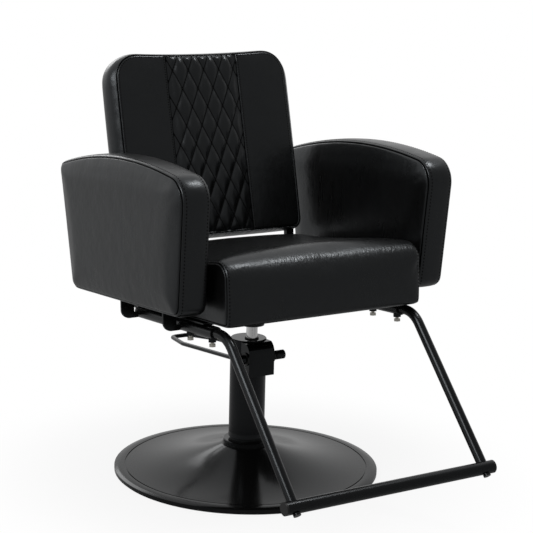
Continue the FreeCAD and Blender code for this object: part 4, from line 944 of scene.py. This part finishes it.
# %% Creases of the seat
CREASE_CELLS = (150, 45, 45)
CREASE_WIDTH = 0.25
CREASE_HEIGHT = 0.3
CREASE_STRIP = (-0.30, -0.262)
CREASE_RISE = (0.53, 0.553)
PATCHES = 18
PATCH_FADE = (0.3, 0.5)


def stretched_front(finish, at):
    """Fine creases at the front edge, where the vinyl is pulled over the foam."""
    near = finish.between(finish.part_of(at, "Y"), *CREASE_STRIP, 1.0, 0.0)
    high = finish.between(finish.part_of(at, "Z"), *CREASE_RISE)
    cells = {"Vector": finish.scaled(at, CREASE_CELLS), "Scale": 1}
    cracks = finish.node("TexVoronoi", cells, "Distance", feature="DISTANCE_TO_EDGE")
    patches = high * finish.between(finish.noise(at, PATCHES), *PATCH_FADE)
    return finish.between(cracks, 0.0, CREASE_WIDTH) * near * patches * CREASE_HEIGHT


seat_cover = vinyl("seat vinyl", stretched_front)
print("seat vinyl ready")

# %% [markdown]
# ## The seat
# The seat rests flat on its board, so the points underneath are pinned as well as the seams. Its stitches run
# beside both side seams, and stop at the board.

# %% Sewn seat
SEAT_GRID = (36, 14)
SEAT_PUFF = 0.009
BOARD_REACH = 0.004
STITCH_INSET = 0.0055
STITCH_FOOT = 0.006


def above_board(point):
    return point.y > SEAT_UNDER + STITCH_FOOT


seat_bm = sewn_cushion(seat_cut, seat_stations, SEAT_GRID, seat_frame, crowned)
seat_cushion = piece_from("sewn_seat", seat_bm, seat_cover)
seat_points = seat_cushion.data.vertices
underneath = {vert.index for vert in seat_points if (to_seat @ vert.co).z < SEAT_UNDER + BOARD_REACH}
pad(seat_cushion, sorted(seam_points(seat_cushion) | underneath), SEAT_PUFF)
sink_seams(seat_cushion)
smooth_out(seat_cushion)
upholster(seat_cushion, "seat_cushion")

seat_inset = rolled(STITCH_INSET, SEAT_SWELL, SEAT_ROLL)
seat_depths = [side * (SEAT_SEAM - STITCH_INSET) for side in (-1, 1)]
rows = [line_on(seat_cut, depth, seat_inset, seat_frame, above_board) for depth in seat_depths]
stitched("seat_stitches", rows, seat_cushion, LONG_PITCH)

# %% [markdown]
# ## Shape of the back
# The back is a cushion of the same kind, stood on its edge. Its band is thin along the top and fat at the
# sides, so the swelling at the sides is a move of its own, which fades towards the top and the rear. Under its
# foot the band hangs down a little towards the rear. The back's depth runs along Y, so one matrix swaps the
# cushion's depth with its side.

# %% Back shape
BACK_HALF = 0.2245
BACK_LOW = -0.002
BACK_HEIGHT = 0.4235
BACK_CORNERS = ((-BACK_HALF, BACK_LOW), (BACK_HALF, BACK_LOW),
                (BACK_HALF, BACK_HEIGHT), (-BACK_HALF, BACK_HEIGHT))
BACK_TURNS = (0.016, 0.016, 0.056, 0.056)
BACK_BOWS = (0.0, 0.002, -0.0075, 0.002)
BACK_SEAM = -0.001
BACK_BAND = ((0.0, 0.0), (0.0015, -0.0014), (0.0045, -0.0024), (0.010, -0.0034), (0.018, -0.004),
             (0.028, -0.004), (0.039, -0.0035), (0.050, -0.0025), (0.060, -0.0005), (0.067, 0.002),
             (0.071, 0.006))
BACK_SIDES = 0.0125
SIDES_GROW = 0.018
SIDES_FADE_FROM = 0.042
SIDES_FADE = 0.028
SIDES_TOP_FADE = 0.07
SIDES_LOSS = 0.6
BACK_TUCK = 0.005
TUCK_REACH = 0.05
TUCK_HEIGHT = 0.007


def eased(share):
    """A share from 0 to 1 that starts and stops gently."""
    share = min(1.0, max(0.0, share))
    return share * share * (3 - 2 * share)


def fat_sides(point):
    """Let the band swell more at its sides than along its top, and hang under its foot."""
    behind = point.x - BACK_SEAM
    swell = eased(behind / SIDES_GROW) * (1 - SIDES_LOSS * eased((behind - SIDES_FADE_FROM) / SIDES_FADE))
    swell *= 1 - SIDES_LOSS * eased((point.z - BACK_HEIGHT + SIDES_TOP_FADE) / SIDES_TOP_FADE)
    tuck = BACK_TUCK * eased(behind / TUCK_REACH) if point.z < BACK_LOW + TUCK_HEIGHT else 0.0
    return Vector((point.x, point.y * (1 + BACK_SIDES / BACK_HALF * swell), point.z - tuck))


depth_and_side = Matrix(((0, 1, 0, 0), (1, 0, 0, 0), (0, 0, 1, 0), (0, 0, 0, 1)))
back_place = back_frame @ depth_and_side
back_cut = outline(BACK_CORNERS, BACK_TURNS, BACK_BOWS)
back_stations = [(BACK_SEAM + depth, inset) for depth, inset in BACK_BAND]
print("back band of", len(back_stations), "rows of points")

# %% [markdown]
# ## Gathers under the back
# Under the back the band is pulled in to its board and gathers into small folds, side by side. Noise that runs
# fast along X and slowly otherwise gives folds, and a range of height keeps them to the foot.

# %% Gathers of the back
FOLDS = (140, 9, 9)
FOLD_HEIGHT = 4
FOLD_FADE = (0.532, 0.541)


def gathered_foot(finish, at):
    """Gathers under the back, where the band is pulled in to its board."""
    folds = finish.noise(finish.scaled(at, FOLDS), detail=1)
    return folds * finish.between(finish.part_of(at, "Z"), *FOLD_FADE, 1.0, 0.0) * FOLD_HEIGHT


back_cover = vinyl("back vinyl", gathered_foot)
print("back vinyl ready")

# %% [markdown]
# ## The back
# The back's front is three panels side by side: two plain ones, and a quilted one between them. The front is
# one grid here. Two planes cut it where the quilting begins, and the cuts become seams that are sunk like the
# others. Between them the front is pressed in after the padding, as a bed for the quilting.

# %% Sewn back
BACK_GRID = (38, 36)
BACK_PUFF = 0.008
QUILT_HALF = 0.094

back_bm = sewn_cushion(back_cut, back_stations, BACK_GRID, back_place, fat_sides)
for side in (-1, 1):
    front = [f for f in back_bm.faces if all((to_back @ v.co).y < BACK_SEAM + NEARBY for v in f.verts)]
    elements = [*front, *(e for f in front for e in f.edges), *(v for f in front for v in f.verts)]
    once_each = list(dict.fromkeys(elements))
    quilt_edge = back_frame @ Vector((side * QUILT_HALF, 0, 0))
    cut = bmesh.ops.bisect_plane(back_bm, geom=once_each, plane_co=quilt_edge, plane_no=(1, 0, 0))
    for item in cut["geom_cut"]:
        if isinstance(item, bmesh.types.BMEdge):
            item.seam = True
back_cushion = piece_from("sewn_back", back_bm, back_cover)
pad(back_cushion, sorted(seam_points(back_cushion)), BACK_PUFF)
sink_seams(back_cushion)

# %% [markdown]
# ## The bed and the stitches of the back
# The points between the two cuts move back together, so that the quilting can lie in front of them. One row of
# stitches follows the seam round the front, and one more stands beside each cut.

# %% Bed for the quilting
BED_DEPTH = 0.008
BED_FRONT = 0.003
BED_SIDE = 0.001
BED_FOOT = 0.004
BED_HEAD = 0.014
SHORT_PITCH = 0.0058
ROW_LIFT = 0.003
ROW_HEAD = 0.008


def in_bed(spot):
    """Whether a point of the back lies under the quilting."""
    on_front = spot.y < BACK_SEAM + BED_FRONT
    between_seams = abs(spot.x) < QUILT_HALF - BED_SIDE
    return on_front and between_seams and BACK_LOW + BED_FOOT < spot.z < BACK_HEIGHT - BED_HEAD


for vert in back_cushion.data.vertices:
    spot = to_back @ vert.co
    if in_bed(spot):
        spot.y += BED_DEPTH
        vert.co = back_frame @ spot
smooth_out(back_cushion)
upholster(back_cushion, "back_cushion")
rows = [line_on(back_cut, BACK_SEAM - ROW_LIFT, STITCH_INSET, back_place)]
for side in (-1, 1):
    x = side * (QUILT_HALF + STITCH_INSET)
    rows.append([back_frame @ Vector((x, 0, z)) for z in (0, BACK_HEIGHT - ROW_HEAD)])
stitched("back_stitches", rows, back_cushion, SHORT_PITCH)

# %% [markdown]
# ## Grid of the quilting
# A quilted panel is a skin over wadding, sewn down along two sets of slanting lines. A grid turned so that its
# own lines slant the same way has points along every channel. It is made larger than the panel, and
# bisect_plane cuts it to the panel's rectangle.

# %% Quilting grid
DIAMOND_WIDTH = 0.041
DIAMOND_HEIGHT = 0.086
CROSSING = (0.002, 0.295)
DIAMOND_STEPS = 10
DIAMONDS = 12
QUILT_FOOT = 0.002
QUILT_HEAD = 0.4145
SLIVER = 0.0006

slant = Matrix((
    (DIAMOND_WIDTH / 2, -DIAMOND_WIDTH / 2, 0, CROSSING[0]),
    (0, 0, 1, 0),
    (DIAMOND_HEIGHT / 2, DIAMOND_HEIGHT / 2, 0, CROSSING[1] - DIAMOND_HEIGHT),
    (0, 0, 0, 1),
))
quilt = bmesh.new()
grid_steps = DIAMONDS * DIAMOND_STEPS
bmesh.ops.create_grid(quilt, x_segments=grid_steps, y_segments=grid_steps, size=DIAMONDS / 2, matrix=slant)
for edge_point, outward in (((QUILT_HALF, 0, 0), (1, 0, 0)), ((-QUILT_HALF, 0, 0), (-1, 0, 0)),
                            ((0, 0, QUILT_FOOT), (0, 0, -1)), ((0, 0, QUILT_HEAD), (0, 0, 1))):
    bmesh.ops.bisect_plane(quilt, geom=quilt.verts[:] + quilt.edges[:] + quilt.faces[:], plane_co=edge_point,
                           plane_no=outward, clear_outer=True)
bmesh.ops.remove_doubles(quilt, verts=quilt.verts, dist=SLIVER)
for face in quilt.faces:
    if face.normal.y > 0:
        face.normal_flip()
print("quilting of", len(quilt.faces), "faces")

# %% [markdown]
# ## Diamonds
# Each diamond is raised by a formula first: like the arms' faces it rises steeply from its two pairs of
# channels and is flat on top, and the whole panel is crowned and turns back at its hem. The points along the
# channels and the hem are then pinned and given painted shade through the attribute "seam", and a light puff
# of the cloth solver settles the rest.

# %% Diamonds
QUILT_RISE = 0.0052
QUILT_CROWN = 0.0025
QUILT_SINK = 0.002
QUILT_HEM = 0.013
QUILT_SIDE_HEM = 0.024
QUILT_PUFF = 0.0015
QUILT_PRESSURE = 12.0
DIAMOND_SLOPE = 0.38
CHANNEL_SHARE = 0.02
CHANNEL_PAINTED_SHADE = 0.9

unslant = slant.inverted()
sunk = quilt.verts.layers.float.new("seam")
quilt.verts.index_update()
pins = []
for vert in quilt.verts:
    across = unslant @ vert.co
    off_lines = [abs(value - round(value)) for value in (across.x, across.y)]
    rise = QUILT_RISE * rounded(off_lines[0] / DIAMOND_SLOPE) * rounded(off_lines[1] / DIAMOND_SLOPE)
    to_side = QUILT_HALF - abs(vert.co.x)
    to_end = min(vert.co.z - QUILT_FOOT, QUILT_HEAD - vert.co.z)
    hem = eased(to_side / QUILT_SIDE_HEM) * rounded(to_end / QUILT_HEM)
    middle = (1 - (vert.co.x / QUILT_HALF) ** 2) * (1 - (2 * vert.co.z / BACK_HEIGHT - 1) ** 2)
    crown = QUILT_CROWN * sqrt(max(0.0, middle))
    # painted shade: channel and hem points get a value in the attribute "seam", which only darkens the vinyl
    # here
    if vert.is_boundary or min(off_lines) < CHANNEL_SHARE:
        pins.append(vert.index)
        vert[sunk] = CHANNEL_PAINTED_SHADE
    vert.co.y = BACK_SEAM + QUILT_SINK - (crown + QUILT_SINK + rise) * hem
bmesh.ops.transform(quilt, matrix=back_frame, verts=quilt.verts)
quilted_panel = piece_from("sewn_quilting", quilt, cover)
pad(quilted_panel, pins, QUILT_PUFF, QUILT_PRESSURE)
smooth_out(quilted_panel)
upholster(quilted_panel, "quilted_panel")

# %% [markdown]
# ## Stitches of the quilting
# The stitches lie along the channels, which are the whole numbers of the slanted grid. Each channel is walked
# in small steps, and only the steps inside the panel's hem are kept.

# %% Channels
CHANNEL_STEPS = 8
CHANNEL_MARGIN = 0.004


def inside_hem(point):
    between_sides = abs(point.x) < QUILT_HALF - CHANNEL_MARGIN
    return between_sides and QUILT_FOOT + CHANNEL_MARGIN < point.z < QUILT_HEAD - CHANNEL_MARGIN


def channel(line, way):
    """World points of one sewn channel inside the panel, along one of the two slants."""
    walk = [n / CHANNEL_STEPS - DIAMONDS / 2 for n in range(DIAMONDS * CHANNEL_STEPS + 1)]
    points = [slant @ Vector((line, along, 0) if way else (along, line, 0)) for along in walk]
    return [back_frame @ point for point in points if inside_hem(point)]


lines = [channel(line - DIAMONDS // 2, way) for line in range(DIAMONDS + 1) for way in (0, 1)]
rows = [line for line in lines if len(line) > FEWEST_STITCHES]
stitched("quilting_stitches", rows, quilted_panel, SHORT_PITCH)

# %% [markdown]
# ## Return spring
# Inside the pump's housing a coil spring round the shaft lifts the lever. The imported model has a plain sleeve
# for it. A circle that is spun with a step along the axis leaves a wound wire, as a coiling machine does.

# %% Return spring
WIRE = 0.0021
WIRE_SIDES = 8
SPRING_TURNS = 5.5
STEPS_PER_TURN = 20

low, high = (Vector(corner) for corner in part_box("return_spring"))
axis_start = Vector((low.x + WIRE / 2, (low.y + high.y) / 2, (low.z + high.z) / 2))
coil_radius = (high.z - low.z) / 2 - WIRE / 2
coil_steps = round(SPRING_TURNS * STEPS_PER_TURN)
coil = bmesh.new()
start = Matrix.Translation(axis_start + Vector((0, 0, coil_radius))) @ Matrix.Rotation(pi / 2, 4, "X")
bmesh.ops.create_circle(coil, segments=WIRE_SIDES, radius=WIRE / 2, matrix=start)
bmesh.ops.spin(coil, geom=coil.edges[:], cent=axis_start, axis=(1, 0, 0), angle=2 * pi * SPRING_TURNS,
               steps=coil_steps, dvec=((high.x - low.x - WIRE) / coil_steps, 0, 0))
bmesh.ops.holes_fill(coil, edges=[edge for edge in coil.edges if edge.is_boundary])
bmesh.ops.recalc_face_normals(coil, faces=coil.faces)
spring = piece_from("wound_spring", coil, finishes["steel"])
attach(spring, "base")
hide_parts("return_spring")
print("spring of", SPRING_TURNS, "turns")

# %% [markdown]
# ## Studio floor
# The floor is pale and the background white, as on a studio's paper sweep. Camera rays see the floor as white,
# and round the base a share of plain diffuse colour keeps the chair's soft shadow. Reflections see it as a
# grey, darker in front of the chair, where the real room was unlit: black vinyl shows its form only by what
# it reflects.

# %% Floor
FLOOR_SIZE = 60.0
FLOOR_DROP = 0.0005
FLOOR_GREY = 0.85
SHADOW_SHARE = 0.13
SHADOW_REACH = (0.3, 0.72)
UNLIT_REACH = (-1.2, 2.0)
UNLIT_SHARE = (0.72, 0.5)


def kinds_of_ray(network):
    """Whether a ray comes from the camera, and whether it comes off a gloss or through glass."""
    glossy = network.node("LightPath", out="Is Glossy Ray")
    through = network.node("LightPath", out="Is Transmission Ray")
    return network.node("LightPath", out="Is Camera Ray"), glossy + through


floor_material = bpy.data.materials.new("pale floor")
floor_material.use_nodes = True
paper = Network(floor_material.node_tree)
paper.tree.nodes.clear()
camera_ray, mirror_ray = kinds_of_ray(paper)
away = paper.node("VectorMath", {0: paper.place()}, "Value", operation="LENGTH")
near = paper.between(away, *SHADOW_REACH, 1.0, 0.0)
unlit = paper.between(paper.part_of(paper.place(), "Y"), *UNLIT_REACH, *UNLIT_SHARE)
white = paper.node("Emission", {"Color": grey(1.0), "Strength": 1 - mirror_ray * unlit})
plain = paper.node("BsdfDiffuse", {"Color": grey(FLOOR_GREY)})
seen = paper.node("MixShader", {0: camera_ray * (1 - near * SHADOW_SHARE) + mirror_ray, 1: plain, 2: white})
paper.node("OutputMaterial", {"Surface": seen})
floor_bm = bmesh.new()
bmesh.ops.create_grid(floor_bm, x_segments=1, y_segments=1, size=FLOOR_SIZE / 2,
                      matrix=Matrix.Translation((0, 0, -FLOOR_DROP)))
floor = piece_from("floor", floor_bm, floor_material)
print("floor", FLOOR_SIZE, "m wide")

# %% [markdown]
# ## World and lamps
# The world is the rest of the studio: the lit sweep behind the chair and the dim room in front of it. Three
# soft lamps, a large one high on the left, a small one above on the right and a weak one behind, give the
# long glints along the arms, the seat's front edge and the top of the back.

# %% World and lamps
ROOM_LEVEL = 0.27
SWEEP_EDGE = 0.35
SWEEP_SHARE = 0.7
LAMP_TARGET = Vector((0, 0, 0.5))

world = bpy.data.worlds.new("studio")
scene.world = world
world.use_nodes = True
sky = Network(world.node_tree)
sky.tree.nodes.clear()
camera_ray, mirror_ray = kinds_of_ray(sky)
backward = sky.part_of(sky.node("TexCoord", out="Generated"), "Y")
sweep = sky.between(backward, -SWEEP_EDGE, SWEEP_EDGE)
colour = sky.blend(camera_ray + mirror_ray * sweep * SWEEP_SHARE, grey(ROOM_LEVEL), grey(1.0))
sky.node("OutputWorld", {"Surface": sky.node("Background", {"Color": colour})})


def soft_lamp(name, place, size, power):
    """A square lamp that faces the chair."""
    lamp = bpy.data.lights.new(name, "AREA")
    lamp.size = size
    lamp.energy = power
    holder = bpy.data.objects.new(name, lamp)
    holder.location = place
    holder.rotation_euler = (LAMP_TARGET - Vector(place)).to_track_quat("-Z", "Y").to_euler()
    scene.collection.objects.link(holder)


soft_lamp("left lamp", place=(-2.4, -1.0, 2.6), size=1.4, power=50)
soft_lamp("top lamp", place=(1.2, -0.5, 3.0), size=0.5, power=17)
soft_lamp("rear lamp", place=(0.3, 3.4, 1.9), size=1.2, power=10)
print("studio ready")
